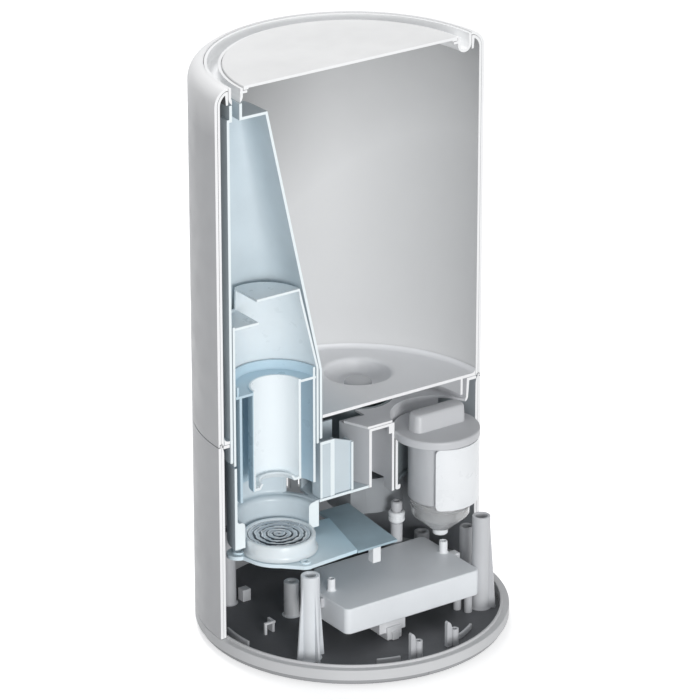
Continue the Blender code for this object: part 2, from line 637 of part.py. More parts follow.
def make_tank_floor():
    """Floor of the tank with its skirt and the bowl that leads to the valve."""
    thick = 2.0
    low = SEAM + 0.9
    high = low + thick
    edge = RADIUS - WALL - GAP
    floor = cylinder("tank_floor", (0, 0), edge, low, high, "inner_white", SEGMENTS)
    skirt = tube("floor_skirt", (0, 0), 85.8, 84.2, 133.0, low + 0.8, segments=SEGMENTS)
    outside = [(0, high - 0.5), (BOWL_RADIUS + 1.6, high - 0.5), (BOWL_RADIUS, 139.0),
               (BOWL_RADIUS - 4.0, 134.0), (11.0, BOWL_FLOOR - THIN), (0, BOWL_FLOOR - THIN)]
    bowl_skin = turned("bowl_outside", outside, None, VALVE, 32, closed=False)
    join(floor, skirt, bowl_skin)
    inside = [(0, high + 4), (BOWL_RADIUS + 0.6, high + 4), (BOWL_RADIUS + 0.2, high - 0.4),
              (BOWL_RADIUS - 2.4, 139.0), (BOWL_RADIUS - 6.0, 135.0), (9.6, BOWL_FLOOR), (0, BOWL_FLOOR)]
    bowl = turned("cutter_bowl", inside, None, VALVE, 32, closed=False)
    hole = cylinder("cutter_valve_hole", VALVE, 3.2, 120, 150, segments=20)
    duct = loft("cutter_duct_pass", [duct_section(z, -GAP) for z in (125.0, 160.0)])
    return half(cut(floor, bowl, hole, duct))


def make_valve():
    """Cage, spring and plunger of the outlet valve."""
    base = BOWL_FLOOR + GAP
    cage = turned("valve_cage", [(0, base + 8.0), (8.0, base + 8.0), (9.0, base + 7.0), (9.0, base),
                                 (7.6, base), (7.6, base + 6.4), (0, base + 6.4)], "shell_white", VALVE, 20,
                  closed=False)
    for i in range(3):
        slot = box(f"cutter_cage_slot_{i}", (-12, -1.3, base + 1.2), (12, 1.3, base + 5.2))
        slot.location.x += VALVE[0] * MM
        slot.location.y += VALVE[1] * MM
        slot.rotation_euler.z = math.pi * i / 3
        cut(cage, slot)
    plunger = [(0, base + 2.0), (5.6, base + 2.0), (5.6, base + 0.2), (2.0, base + 0.2), (2.0, 122.0),
               (0, 122.0)]
    turned("valve_plunger", plunger, "light_grey", VALVE, 20, closed=False)
    turns, wire, radius = 2.5, 0.35, 3.6
    low, high = base + 2.0 + wire + 0.15, base + 6.4 - wire - 0.15
    count = 28
    curve = bpy.data.curves.new("valve_spring", "CURVE")
    curve.dimensions = "3D"
    curve.bevel_depth = wire * MM
    curve.bevel_resolution = 1
    curve.use_fill_caps = True
    spline = curve.splines.new("POLY")
    spline.points.add(count)
    for i in range(count + 1):
        share = i / count
        angle = math.tau * turns * share
        point = (radius * math.cos(angle), radius * math.sin(angle), low + (high - low) * share)
        spline.points[i].co = (*[value * MM for value in point], 1.0)
    curve.materials.append(material("steel"))
    spring = bpy.data.objects.new("valve_spring", curve)
    spring.location = Vector((*VALVE, 0)) * MM
    PARTS.objects.link(spring)
    weld = spring.modifiers.new("weld", "WELD")
    weld.merge_threshold = 0.00001


# ---- mist guide and tube ------------------------------------------------------------------
def make_guide():
    """Removable chimney over the mist tube, closed above by two staggered baffles."""
    def ring(height, inset):
        share = max(0.0, min(1.0, (height - GUIDE_BEND) / (GUIDE_HIGH_BAFFLE - GUIDE_BEND)))
        left = DUCT_X - GUIDE_RADIUS
        right_low = DUCT_X + GUIDE_RADIUS
        right = right_low + (GUIDE_TOP_RIGHT - right_low) * share
        centre, reach = (left + right) / 2, (right - left) / 2 - inset
        width = GUIDE_RADIUS + (26.0 - GUIDE_RADIUS) * share - inset
        return [(centre + reach * math.cos(math.tau * (i + 0.5) / 32),
                 width * math.sin(math.tau * (i + 0.5) / 32), height) for i in range(32)]

    skin = 1.6
    outer_heights = (GUIDE_FOOT, GUIDE_BEND, GUIDE_LOW_BAFFLE, GUIDE_HIGH_BAFFLE)
    guide = loft("mist_guide", [ring(z, 0) for z in outer_heights], "clear")
    inner_heights = (GUIDE_FOOT - 5, GUIDE_BEND, GUIDE_LOW_BAFFLE, GUIDE_HIGH_BAFFLE + 6)
    hollow = loft("cutter_guide", [ring(z, skin) for z in inner_heights])
    cut(guide, hollow)
    top = box("cutter_guide_top", (DUCT_X - 40, -45, GUIDE_LOW_BAFFLE + 0.8),
              (-70.6, 45, GUIDE_HIGH_BAFFLE + 9))
    high = loft("high_baffle", [ring(z, 0.6) for z in (GUIDE_HIGH_BAFFLE - skin, GUIDE_HIGH_BAFFLE)])
    high_side = box("cutter_high", (-100, -50, 225), (-70.9, 50, 245))
    cut(high, high_side)
    low = loft("low_baffle", [ring(z, 0.6) for z in (GUIDE_LOW_BAFFLE - skin, GUIDE_LOW_BAFFLE)])
    low_side = box("cutter_low", (-69.6, -50, 200), (0, 50, 230))
    cut(low, low_side)
    join(guide, high, low)
    return half(cut(guide, top))


def make_mist_tube():
    """Inner tube with its flange, outer skirt and the splash lip at its foot."""
    flange = cylinder("mist_tube", (DUCT_X, 0), GUIDE_RADIUS - 2.0, FLANGE_Z, FLANGE_Z + THIN, "clear", 40)
    skirt = tube("tube_skirt", (SKIRT_X, 0), SKIRT_RADIUS, SKIRT_RADIUS - THIN, SKIRT_FOOT, FLANGE_Z + 0.6,
                 segments=32)
    inner = tube("tube_inner", (TUBE_X, 0), TUBE_RADIUS, TUBE_RADIUS - THIN, TUBE_FOOT, FLANGE_Z + 2.6,
                 segments=28)
    wall_middle = TUBE_RADIUS - THIN / 2
    lip = turned("tube_lip", [(wall_middle, TUBE_FOOT + 1.4), (wall_middle, TUBE_FOOT - 1.2),
                              (12.6, TUBE_FOOT - 1.2), (10.4, TUBE_FOOT + 2.2), (11.8, TUBE_FOOT + 2.8),
                              (13.4, TUBE_FOOT + 0.6), (wall_middle - 0.4, TUBE_FOOT + 0.6),
                              (wall_middle - 0.4, TUBE_FOOT + 1.4)],
                 None, (TUBE_X, 0), 28)
    upstand = tube("tube_upstand", (DUCT_X, 0), GUIDE_RADIUS - 2.6, GUIDE_RADIUS - 4.2, FLANGE_Z + 1,
                   FLANGE_Z + 8.0, segments=36)
    join(flange, skirt)
    bore = cylinder("cutter_tube", (TUBE_X, 0), wall_middle, 60, 200, segments=28)
    cut(flange, bore)
    return half(join(flange, inner, lip, upstand))


# ---- filter cartridge ---------------------------------------------------------------------
def make_cartridge():
    """Filter cartridge: body with resin, cover panel, cone, nozzle and the turning cap."""
    top = CAP_Z[0] - GAP
    outer, foot = CARTRIDGE_RADIUS, CARTRIDGE_FOOT
    body = [(outer, top), (outer, foot), (outer - 6, foot), (outer - 6, foot + 1.6),
            (outer - 1.6, foot + 1.6), (outer - 1.6, top)]
    turned("cartridge_body", body, "light_grey", CARTRIDGE, 36)
    cylinder("filter_media", CARTRIDGE, CARTRIDGE_RADIUS - 2.1, CARTRIDGE_FOOT + 2.0, top - 3.0, "media", 24)
    angles = (-134, -15)
    outline = [*arc(CARTRIDGE, CARTRIDGE_RADIUS + 3.2, *angles, 12),
               *arc(CARTRIDGE, CARTRIDGE_RADIUS + GAP, angles[1], angles[0], 12)]
    prism("cartridge_cover", outline, CARTRIDGE_FOOT - 1.0, top - 1.0, "shell_white")
    cone = [(19.6, CARTRIDGE_FOOT - GAP), (19.6, CARTRIDGE_FOOT - 2.4), (18.9, CARTRIDGE_FOOT - 3.0),
            (18.6, 62.0), (17.6, 60.4), (6.8, 50.6), (5.3, 50.6), (5.3, 51.6), (16.6, 62.2), (17.6, 64.0),
            (18.0, CARTRIDGE_FOOT - GAP)]
    turned("cartridge_cone", cone, "clear", CARTRIDGE, 28)
    tube("cartridge_nozzle", CARTRIDGE, 4.9, 2.6, 46.2, 56.1, "shell_white", 20)
    rim_low, rim_high = CAP_Z
    cap = turned("cartridge_cap", [(0, rim_high), (CAP_RADIUS - 0.8, rim_high), (CAP_RADIUS, rim_high - 0.8),
                                   (CAP_RADIUS, rim_low + 0.4), (CAP_RADIUS - 0.4, rim_low), (0, rim_low)],
                 "light_grey", CAP, 40, closed=False)
    x, y = CAP
    grip = prism("cap_grip", rounded_outline((x - 18.5, y - 5.2), (x + 20.5, y + 7.6), 4.5), rim_high - 1,
                 rim_high + 11.7)
    return join(cap, grip)


make_tray()
make_feet()
make_housing()
make_inlet()
make_deck()
make_basin()
make_air_channel()
make_air_box()
make_baffle()
make_well()
make_valve_cup()
make_float()
make_plate()
make_board()
make_transducer()
make_power_box()
make_sensor()
make_fan()
make_tank_shell()
make_top_ring()
make_lid()
make_duct()
make_tank_floor()
make_valve()
make_guide()
make_mist_tube()
make_cartridge()
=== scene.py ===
"""Looks of the sectioned cool mist humidifier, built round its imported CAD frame.

Lengths are millimetres, as in the CAD source, and MM turns them into Blender's metres. Each maker below
rebuilds one visible moulding at a high resolution with rounded edges, puts it on the CAD body that it
belongs to and says which CAD node it stands for. The section plane is y = 0.
"""
import json
import math

import bmesh
import bpy
from mathutils import Matrix, Vector

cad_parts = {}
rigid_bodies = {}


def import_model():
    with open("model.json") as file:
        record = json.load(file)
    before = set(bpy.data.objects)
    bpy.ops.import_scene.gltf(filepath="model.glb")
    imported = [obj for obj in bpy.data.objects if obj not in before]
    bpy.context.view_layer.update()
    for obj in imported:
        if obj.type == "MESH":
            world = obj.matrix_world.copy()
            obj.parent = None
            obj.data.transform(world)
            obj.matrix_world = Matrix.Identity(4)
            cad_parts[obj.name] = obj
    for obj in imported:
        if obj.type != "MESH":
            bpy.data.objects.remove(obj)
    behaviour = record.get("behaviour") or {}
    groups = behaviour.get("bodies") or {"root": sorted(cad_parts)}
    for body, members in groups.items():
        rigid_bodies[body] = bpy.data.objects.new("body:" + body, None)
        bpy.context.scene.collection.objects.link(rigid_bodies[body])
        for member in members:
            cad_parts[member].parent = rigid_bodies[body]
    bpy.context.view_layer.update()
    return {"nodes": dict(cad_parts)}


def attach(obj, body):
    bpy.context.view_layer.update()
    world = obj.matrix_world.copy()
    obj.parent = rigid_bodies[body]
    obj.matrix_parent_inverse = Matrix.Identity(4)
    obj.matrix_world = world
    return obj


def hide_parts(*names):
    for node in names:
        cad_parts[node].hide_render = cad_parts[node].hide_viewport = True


for item in list(bpy.data.objects):
    bpy.data.objects.remove(item, do_unlink=True)
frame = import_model()

MM = 0.001
ROUND = 192                    # steps of a full turn of a large moulding
SMALL_ROUND = 64
GAP = 0.3
SKIN = 2.05                    # outer layer of the two-layer walls

# ---- sizes shared with the CAD source -----------------------------------------------------
RADIUS, HEIGHT, WALL, THIN = 100.0, 376.0, 4.0, 1.8
TRAY_FLOOR, TRAY_LEDGE, TRAY_BAND, TRAY_SET_BACK = 6.0, 12.0, 5.2, 1.4
TRAY_RIM_TOP, TRAY_RIM_IN = 13.6, 94.2
SEAM, DECK_TOP, RECESS_RADIUS = 143.0, 129.0, 91.0
DUCT_X, DUCT_RADIUS, DUCT_BEND, DUCT_TOP, DUCT_FOOT = -57.0, 34.3, 177.0, 355.0, 130.3
DUCT_TOP_RIGHT, DUCT_TOP_HALF_WIDTH = -62.0, 28.0
GUIDE_RADIUS, GUIDE_FOOT, GUIDE_BEND, GUIDE_TOP_RIGHT = 31.7, 127.6, 179.0, -39.1
GUIDE_LOW_BAFFLE, GUIDE_HIGH_BAFFLE = 219.6, 234.7
TUBE_X, TUBE_RADIUS, TUBE_FOOT, FLANGE_Z = -56.6, 18.0, 108.0, 172.0
SKIRT_X, SKIRT_RADIUS, SKIRT_FOOT = -56.0, 28.2, 101.6
BASIN_RADIUS, BASIN_BORE, BASIN_FOOT, BASIN_SHOULDER, BASIN_TOP = 31.5, 24.0, 70.6, 88.0, 126.0
PLATE_TOP, PLATE_THICK = 65.0, 2.4
TRANSDUCER, DISC_RADIUS = (DUCT_X, -2.0), 19.5
GROOVE_IN, GROOVE_OUT, GROOVE_Z, MIST_SLOT = 81.4, 88.0, 368.4, (162, 198)
CREST_RADIUS, BEND = 90.1, 11.5
LID_RADIUS, LID_TOP = 79.0, 374.4
CAP, CARTRIDGE, CARTRIDGE_RADIUS, CARTRIDGE_FOOT = (59.5, -8.0), (61.9, -9.7), 20.9, 73.0
CAP_RADIUS, CAP_Z, WELL_RADIUS = 27.8, (115.6, 121.2), 29.6
VALVE, BOWL_RADIUS, BOWL_FLOOR = (36.0, 45.0), 20.0, 131.4
FLOAT, FAN, FAN_Z, FAN_RADIUS = (32.0, 57.6), (46.0, 52.0), (52.0, 76.0), 22.0
POWER_BOX = ((-41.0, -53.0, 19.5), (62.0, 9.0, 37.0))
TRAY_ROOT = TRAY_FLOOR - 1.0   # where the mouldings on the tray start, inside its floor


# ---- materials ----------------------------------------------------------------------------
class Look:
    """Node-based material under construction, with short names for what the makers need."""

    def __init__(self, name):
        self.material = bpy.data.materials.new(name)
        self.material.use_nodes = True
        self.tree = self.material.node_tree
        self.shader = self.tree.nodes["Principled BSDF"]
        self.place = self.node("ShaderNodeTexCoord").outputs["Object"]

    def node(self, kind, **inputs):
        made = self.tree.nodes.new(kind)
        for key, value in inputs.items():
            made.inputs[key.replace("_", " ")].default_value = value
        return made

    def link(self, source, target):
        self.tree.links.new(source, target)

    def noise(self, scale, detail=3.0, roughness=0.5):
        made = self.node("ShaderNodeTexNoise", Scale=scale, Detail=detail, Roughness=roughness)
        self.link(self.place, made.inputs["Vector"])
        return made.outputs["Fac"]

    def ramp(self, source, *stops):
        made = self.node("ShaderNodeValToRGB")
        elements = made.color_ramp.elements
        while len(elements) < len(stops):
            elements.new(0.5)
        for element, (position, colour) in zip(elements, stops):
            element.position = position
            element.color = (*colour, 1.0)
        self.link(source, made.inputs["Fac"])
        return made.outputs["Color"]

    def span(self, source, low, high, new_low, new_high):
        made = self.node("ShaderNodeMapRange")
        for key, value in (("From Min", low), ("From Max", high), ("To Min", new_low), ("To Max", new_high)):
            made.inputs[key].default_value = value
        self.link(source, made.inputs["Value"])
        return made.outputs["Result"]

    def bump(self, height, strength, distance):
        made = self.node("ShaderNodeBump", Strength=strength, Distance=distance)
        self.link(height, made.inputs["Height"])
        self.link(made.outputs["Normal"], self.shader.inputs["Normal"])

    def gloss(self, low, high, scale=90.0, detail=3.0, roughness=0.5):
        """Uneven roughness between two values."""
        patches = self.noise(scale, detail, roughness)
        self.link(self.span(patches, 0.3, 0.7, low, high), self.shader.inputs["Roughness"])

    def grain(self, strength):
        """Fine spark-eroded grain of a mould."""
        self.bump(self.noise(2600.0, 2.0, 0.5), strength, 0.00012)

    def set(self, **values):
        for key, value in values.items():
            self.shader.inputs[key.replace("_", " ")].default_value = value


def shade(colour, factor):
    return tuple(min(1.0, channel * factor) for channel in colour)


def plastic(name, colour, roughness=0.42, spread=0.04, grain=0.08, coat=0.0, soft=0.0, clear=0.0):
    """Moulded plastic: faint flow marks in the colour, uneven gloss and a fine spark-eroded grain."""
    look = Look(name)
    flow = look.noise(22.0, 4.0, 0.55)
    tones = ((0.30, shade(colour, 1 - spread)), (0.70, shade(colour, 1 + spread)))
    look.link(look.ramp(flow, *tones), look.shader.inputs["Base Color"])
    look.gloss(roughness - 0.05, roughness + 0.07, roughness=0.6)
    look.grain(grain)
    look.set(Coat_Weight=coat, Coat_Roughness=0.2, Subsurface_Weight=soft, Subsurface_Scale=0.004,
             Transmission_Weight=clear, IOR=1.45)
    look.shader.inputs["Subsurface Radius"].default_value = (1.0, 0.9, 0.8)
    return look.material


def graded_plastic(name, low, high, along, start, end, roughness=0.42):
    """Moulded plastic painted with light and shade: its colour runs from one tone to another along a
    direction of the object.
    """
    look = Look(name)
    reach = look.node("ShaderNodeVectorMath")
    reach.operation = "DOT_PRODUCT"
    look.link(look.place, reach.inputs[0])
    reach.inputs[1].default_value = along
    share = look.span(reach.outputs["Value"], start * MM, end * MM, 0.0, 1.0)
    uneven = look.node("ShaderNodeMath")
    uneven.operation = "MULTIPLY_ADD"
    look.link(look.noise(30.0), uneven.inputs[0])
    uneven.inputs[1].default_value = 0.08
    look.link(share, uneven.inputs[2])
    look.link(look.ramp(uneven.outputs[0], (0.04, low), (1.04, high)), look.shader.inputs["Base Color"])
    look.gloss(roughness - 0.05, roughness + 0.07)
    look.grain(0.08)
    return look.material


def shade_ringed_plastic(name, near, far, centre, radius):
    """Translucent moulding with painted shade: pale within a radius of an upright axis and painted deep shade
    outside it.
    """
    look = Look(name)
    shift = look.node("ShaderNodeMapping")
    shift.inputs["Location"].default_value = (-centre[0] * MM, -centre[1] * MM, 0.0)
    shift.inputs["Scale"].default_value = (1.0, 1.0, 0.0)
    look.link(look.place, shift.inputs["Vector"])
    reach = look.node("ShaderNodeVectorMath")
    reach.operation = "LENGTH"
    look.link(shift.outputs["Vector"], reach.inputs[0])
    share = look.span(reach.outputs["Value"], radius * MM, (radius + 1.0) * MM, 0.0, 1.0)
    look.link(look.ramp(share, (0.3, near), (0.7, far)), look.shader.inputs["Base Color"])
    look.gloss(0.26, 0.38)
    look.grain(0.08)
    look.set(Coat_Weight=0.2, Coat_Roughness=0.2)
    return look.material


def metal(name, colour, roughness):
    """Bright metal with fine drawn lines and uneven gloss."""
    look = Look(name)
    look.link(look.ramp(look.noise(40.0), (0.3, shade(colour, 0.9)), (0.7, shade(colour, 1.06))),
              look.shader.inputs["Base Color"])
    look.gloss(roughness * 0.7, roughness * 1.4, 160.0)
    look.bump(look.noise(1800.0), 0.1, 0.0001)
    look.set(Metallic=1.0)
    return look.material


def reflection_painted_metal(name, centre):
    """Polished disc with painted reflections: broken light and dark rings in its colour."""
    look = Look(name)
    shift = look.node("ShaderNodeMapping")
    shift.inputs["Location"].default_value = (-centre[0] * MM, -centre[1] * MM, 0.0)
    look.link(look.place, shift.inputs["Vector"])
    rings = look.node("ShaderNodeTexWave", Scale=78.0, Distortion=2.2, Detail=2.0, Detail_Scale=2.5)
    rings.wave_type = "RINGS"
    rings.rings_direction = "Z"
    look.link(shift.outputs["Vector"], rings.inputs["Vector"])
    look.link(look.ramp(rings.outputs["Fac"], (0.10, (0.05, 0.06, 0.07)), (0.26, (0.62, 0.65, 0.67)),
                        (0.50, (0.96, 0.97, 0.98)), (0.95, (0.66, 0.69, 0.72))),
              look.shader.inputs["Base Color"])
    look.gloss(0.12, 0.28, 300.0)
    look.set(Metallic=0.55)
    return look.material


def board_look(name, colour):
    """Coated circuit board: a faint glass weave and slightly raised tracks."""
    look = Look(name)
    weave = look.node("ShaderNodeTexChecker", Scale=900.0)
    look.link(look.place, weave.inputs["Vector"])
    tracks = look.node("ShaderNodeTexBrick", Scale=120.0)
    look.link(look.place, tracks.inputs["Vector"])
    look.link(look.ramp(look.noise(60.0), (0.35, shade(colour, 0.93)), (0.65, shade(colour, 1.07))),
              look.shader.inputs["Base Color"])
    look.link(look.span(weave.outputs["Fac"], 0.0, 1.0, 0.34, 0.42), look.shader.inputs["Roughness"])
    look.bump(tracks.outputs["Fac"], 0.08, 0.0002)
    return look.material


def granules(name, colour):
    """Small beads of filter resin, each paler at its middle and in painted shade towards its edge."""
    look = Look(name)
    beads = look.node("ShaderNodeTexVoronoi", Scale=900.0)
    look.link(look.place, beads.inputs["Vector"])
    # Painted shade: the colour darkens towards each bead's edge.
    look.link(look.ramp(beads.outputs["Distance"], (0.1, shade(colour, 1.15)), (0.7, shade(colour, 0.6))),
              look.shader.inputs["Base Color"])
    look.bump(beads.outputs["Distance"], 0.5, 0.0004)
    look.set(Roughness=0.75)
    return look.material


# The graded and shade-ringed looks have painted light and shade that follow the shading of the light in view;
# the real plastics are plain.
UP, ACROSS = (0.0, 0.0, 1.0), (1.0, 0.0, 0.0)
# Painted light: the outer shell pales towards its shoulder and crest at the top.
OUTER = graded_plastic("outer_shell", (0.58, 0.585, 0.60), (0.93, 0.93, 0.935), UP, 345, 374, 0.40)
# Painted shade: the base's skin darkens towards the bottom.
BASE_SKIN = graded_plastic("base_skin", (0.50, 0.505, 0.52), (0.58, 0.585, 0.60), UP, 0, 140, 0.40)
# Painted shade: the tank's lining darkens towards the top and the left, under the lid.
LINER = graded_plastic("tank_lining", (0.74, 0.745, 0.75), (0.24, 0.245, 0.25), (-0.8, 0.0, 1.0), 230, 385)
# Section faces: lighter than the skins they cut, partly the plastic's raw colour and partly painted light on
# faces turned to the key.
CUT = plastic("section_face", (0.97, 0.975, 0.98), 0.55, spread=0.02, grain=0.02)
LID = plastic("lid_top", (0.84, 0.84, 0.84), 0.45)
GROOVE = plastic("groove_grey", (0.93, 0.935, 0.94), 0.40)
ICE = plastic("mist_moulding", (0.62, 0.70, 0.745), 0.34, spread=0.06, coat=0.15)
# Section faces of the mist mouldings: far paler than the blue plastic, partly its raw colour and partly
# painted light on faces turned to the key.
ICE_CUT = plastic("mist_section_face", (0.90, 0.97, 1.0), 0.5, spread=0.02, grain=0.02)
ICE_SOFT = plastic("mist_translucent", (0.78, 0.85, 0.885), 0.30, spread=0.05, coat=0.2, soft=0.15)
# Painted shade: the mist tube is pale inside its bore and darkens in the ring round it.
TUBE_SHADE = shade_ringed_plastic("mist_tube_painted_shade", (0.84, 0.90, 0.93), (0.54, 0.69, 0.78), (TUBE_X, 0.0),
                     TUBE_RADIUS - 1.2)
# Painted shade and painted blue light: the tank floor turns darker and bluer towards the duct, where the mist
# glows.
TANK_FLOOR_GLOW = graded_plastic("tank_floor_painted_glow", (0.62, 0.71, 0.77), (0.90, 0.91, 0.93), ACROSS, -40, 20)
# Painted light: the nebuliser plate is paler and icier near the transducer, a painted glow of the mist, and
# bluer grey towards the right.
PLATE_GLOW = graded_plastic("nebuliser_painted_glow", (0.76, 0.88, 0.94), (0.56, 0.78, 0.90), ACROSS, -50, -5)
GREY = plastic("inner_grey", (0.78, 0.79, 0.81), 0.42, coat=0.1)
# Painted shade: the housing's lining darkens towards the bottom of the base.
BACK = graded_plastic("housing_lining", (0.26, 0.27, 0.29), (0.46, 0.50, 0.53), UP, 10, 120)
PALE = plastic("inner_pale", (0.58, 0.59, 0.61), 0.36, coat=0.15)
RIM = plastic("tray_rim_grey", (0.62, 0.625, 0.635), 0.45)
# Painted shade: a darker copy of the rim's grey for the band under the tray's ledge.
BAND_SHADE = plastic("tray_band_painted_shade", (0.36, 0.365, 0.375), 0.5)
WHITE = plastic("inner_white_gloss", (0.90, 0.92, 0.94), 0.30, coat=0.2)
SMOKE = plastic("cone_translucent", (0.93, 0.94, 0.95), 0.16, coat=0.3, clear=0.7)
CAP_GREY = plastic("cap_grey", (0.60, 0.61, 0.63), 0.42, coat=0.1)
POWER = plastic("power_cover_grey", (0.84, 0.87, 0.90), 0.42, coat=0.1)
POST = plastic("post_grey", (0.74, 0.77, 0.80), 0.36, coat=0.15)
SHADED = plastic("well_grey", (0.30, 0.34, 0.36), 0.45)
# Painted shade: the tray's floor is far darker than the rim and posts moulded in one piece with it.
TRAY_FLOOR_SHADE = plastic("tray_floor_painted_shade", (0.14, 0.145, 0.155), 0.6, spread=0.14, grain=0.2)
RUBBER = plastic("rubber_black", (0.035, 0.035, 0.038), 0.75, spread=0.15, grain=0.3)
CASE = plastic("fan_case_grey", (0.34, 0.36, 0.38), 0.5)
STEEL = metal("bright_steel", (0.72, 0.73, 0.74), 0.25)
# Painted reflections: light and dark rings in the colour of the transducer's polished face.
PAINTED_REFLECTIONS = reflection_painted_metal("transducer_painted_reflections", TRANSDUCER)
BOARD = board_look("coated_board", (0.40, 0.53, 0.60))
BEADS = granules("filter_resin", (0.60, 0.52, 0.38))
FOAM = plastic("float_foam", (0.66, 0.64, 0.58), 0.8, spread=0.1, grain=0.5)


# ---- mesh helpers -------------------------------------------------------------------------
def arc(centre, radius, start, end, steps):
    """Points on a circle in plan or profile, from start to end in degrees."""
    angles = [math.radians(start + (end - start) * i / steps) for i in range(steps + 1)]
    return [(centre[0] + radius * math.cos(a), centre[1] + radius * math.sin(a)) for a in angles]


def sector(inner, outer, start, end, steps=24):
    """Plan outline of part of a ring."""
    return arc((0, 0), outer, start, end, steps) + arc((0, 0), inner, end, start, steps)


def rounded_outline(low, high, radius, steps=8):
    """Plan outline of a rectangle with round corners."""
    (x0, y0), (x1, y1) = low, high
    corners = [((x1 - radius, y0 + radius), -90), ((x1 - radius, y1 - radius), 0),
               ((x0 + radius, y1 - radius), 90), ((x0 + radius, y0 + radius), 180)]
    return [point for centre, start in corners for point in arc(centre, radius, start, start + 90, steps)]


def settle(bm):
    """Merge what lies at one place and turn every face outwards."""
    bmesh.ops.remove_doubles(bm, verts=bm.verts, dist=0.000002)
    bmesh.ops.recalc_face_normals(bm, faces=bm.faces)
    return bm


def skin(rings, closed=False):
    """Mesh through equal-length rings of (x, y, z) points; a closed one joins its last ring to its first."""
    bm = bmesh.new()
    rows = [[bm.verts.new(Vector(point) * MM) for point in ring] for ring in rings]
    count = len(rows[0])
    pairs = list(zip(rows, rows[1:])) + ([(rows[-1], rows[0])] if closed else [])
    for low, high in pairs:
        for i in range(count):
            j = (i + 1) % count
            bm.faces.new((low[i], low[j], high[j], high[i]))
    if not closed:
        bm.faces.new(reversed(rows[0]))
        bm.faces.new(rows[-1])
    return settle(bm)


def bevelled_outline(low, high, radius, bevel):
    """Rectangle with three rounded corners and the rear left one cut off at 45 degrees."""
    points = rounded_outline(low, high, radius)
    quarter = len(points) // 4
    corner = [(low[0] + bevel, high[1]), (low[0], high[1] - bevel)]
    return [*points[:2 * quarter], *corner, *points[3 * quarter:]]


def turned(profile, centre=(0, 0), steps=ROUND):
    """Solid of revolution of a closed (radius, height) outline about a vertical axis."""
    rings = []
    for i in range(steps):
        c, s = math.cos(math.tau * i / steps), math.sin(math.tau * i / steps)
        rings.append([(centre[0] + r * c, centre[1] + r * s, z) for r, z in profile])
    return skin(rings, closed=True)


def tube(centre, outer, inner, low, high, steps=ROUND):
    return turned([(outer, high), (outer, low), (inner, low), (inner, high)], centre, steps)


def prism(outline, low, high):
    return skin([[(x, y, low) for x, y in outline], [(x, y, high) for x, y in outline]])


def upright(outline, y_low, y_high):
    """Extrude an (x, z) outline between two y values."""
    return skin([[(x, y_low, z) for x, z in outline], [(x, y_high, z) for x, z in outline]])


def block(low, high):
    (x0, y0, z0), (x1, y1, z1) = low, high
    return prism([(x0, y0), (x1, y0), (x1, y1), (x0, y1)], z0, z1)


def moved(bm, shift=(0, 0, 0), turn=0.0):
    """Turn a mesh about the vertical axis, in degrees, and then shift it."""
    matrix = Matrix.Translation(Vector(shift) * MM) @ Matrix.Rotation(math.radians(turn), 4, "Z")
    bmesh.ops.transform(bm, matrix=matrix, verts=bm.verts)
    return bm


def merged(*meshes):
    """Several closed meshes as one, without joining their surfaces."""
    whole = bmesh.new()
    for bm in meshes:
        mesh = bpy.data.meshes.new("part")
        bm.to_mesh(mesh)
        bm.free()
        whole.from_mesh(mesh)
        bpy.data.meshes.remove(mesh)
    return whole


def combine(target, operation, *tools):
    """Boolean of meshes: DIFFERENCE or UNION."""
    objects = []
    for bm in (target, *tools):
        mesh = bpy.data.meshes.new("operand")
        bm.to_mesh(mesh)
        bm.free()
        made = bpy.data.objects.new("operand", mesh)
        bpy.context.scene.collection.objects.link(made)
        objects.append(made)
    for tool in objects[1:]:
        change = objects[0].modifiers.new("step", "BOOLEAN")
        change.operation = operation
        change.solver = "EXACT"
        change.object = tool
    depsgraph = bpy.context.evaluated_depsgraph_get()
    result = bpy.data.meshes.new_from_object(objects[0].evaluated_get(depsgraph))
    bm = bmesh.new()
    bm.from_mesh(result)
    bpy.data.meshes.remove(result)
    for made in objects:
        mesh = made.data
        bpy.data.objects.remove(made)
        bpy.data.meshes.remove(mesh)
    return bm


def cut(target, *tools):
    return combine(target, "DIFFERENCE", *tools)


def join(target, *tools):
    return combine(target, "UNION", *tools)


def half(bm):
    """Keep what lies behind the section plane and close the cut."""
    geometry = [*bm.verts, *bm.edges, *bm.faces]
    bmesh.ops.bisect_plane(bm, geom=geometry, dist=0.0000005, plane_co=(0, 0, 0), plane_no=(0, -1, 0),
                           clear_outer=True)
    rim = [edge for edge in bm.edges if edge.is_boundary]
    bmesh.ops.holes_fill(bm, edges=rim, sides=0)
    return settle(bm)


def round_edges(made, width, **settings):
    """Bevel the edges of a shown object that are sharper than the modifier's angle."""
    edges = made.modifiers.new("rounded_edges", "BEVEL")
    edges.width, edges.segments, edges.limit_method = width * MM, 2, "ANGLE"
    for key, value in settings.items():
        setattr(edges, key, value)


def piece(name, bm, look, body, nodes=(), bevel=0.3, section=None, angle=32):
    """Make a shown piece: it rides on a CAD body, stands for CAD nodes and has rounded edges."""
    mesh = bpy.data.meshes.new(name)
    bm.to_mesh(mesh)
    bm.free()
    mesh.materials.append(look)
    # Faces on the section plane take the section look, which paints light on the cut.
    if section:
        mesh.materials.append(section)
        for face in mesh.polygons:
            if face.normal.y < -0.999 and abs(face.center.y) < 0.00001:
                face.material_index = 1
    mesh.shade_smooth()
    mesh.set_sharp_from_angle(angle=math.radians(angle))
    made = bpy.data.objects.new(name, mesh)
    bpy.context.scene.collection.objects.link(made)
    if bevel:
        round_edges(made, bevel, angle_limit=math.radians(angle), harden_normals=True)
    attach(made, body)
    if nodes:
        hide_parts(*nodes)
    return made


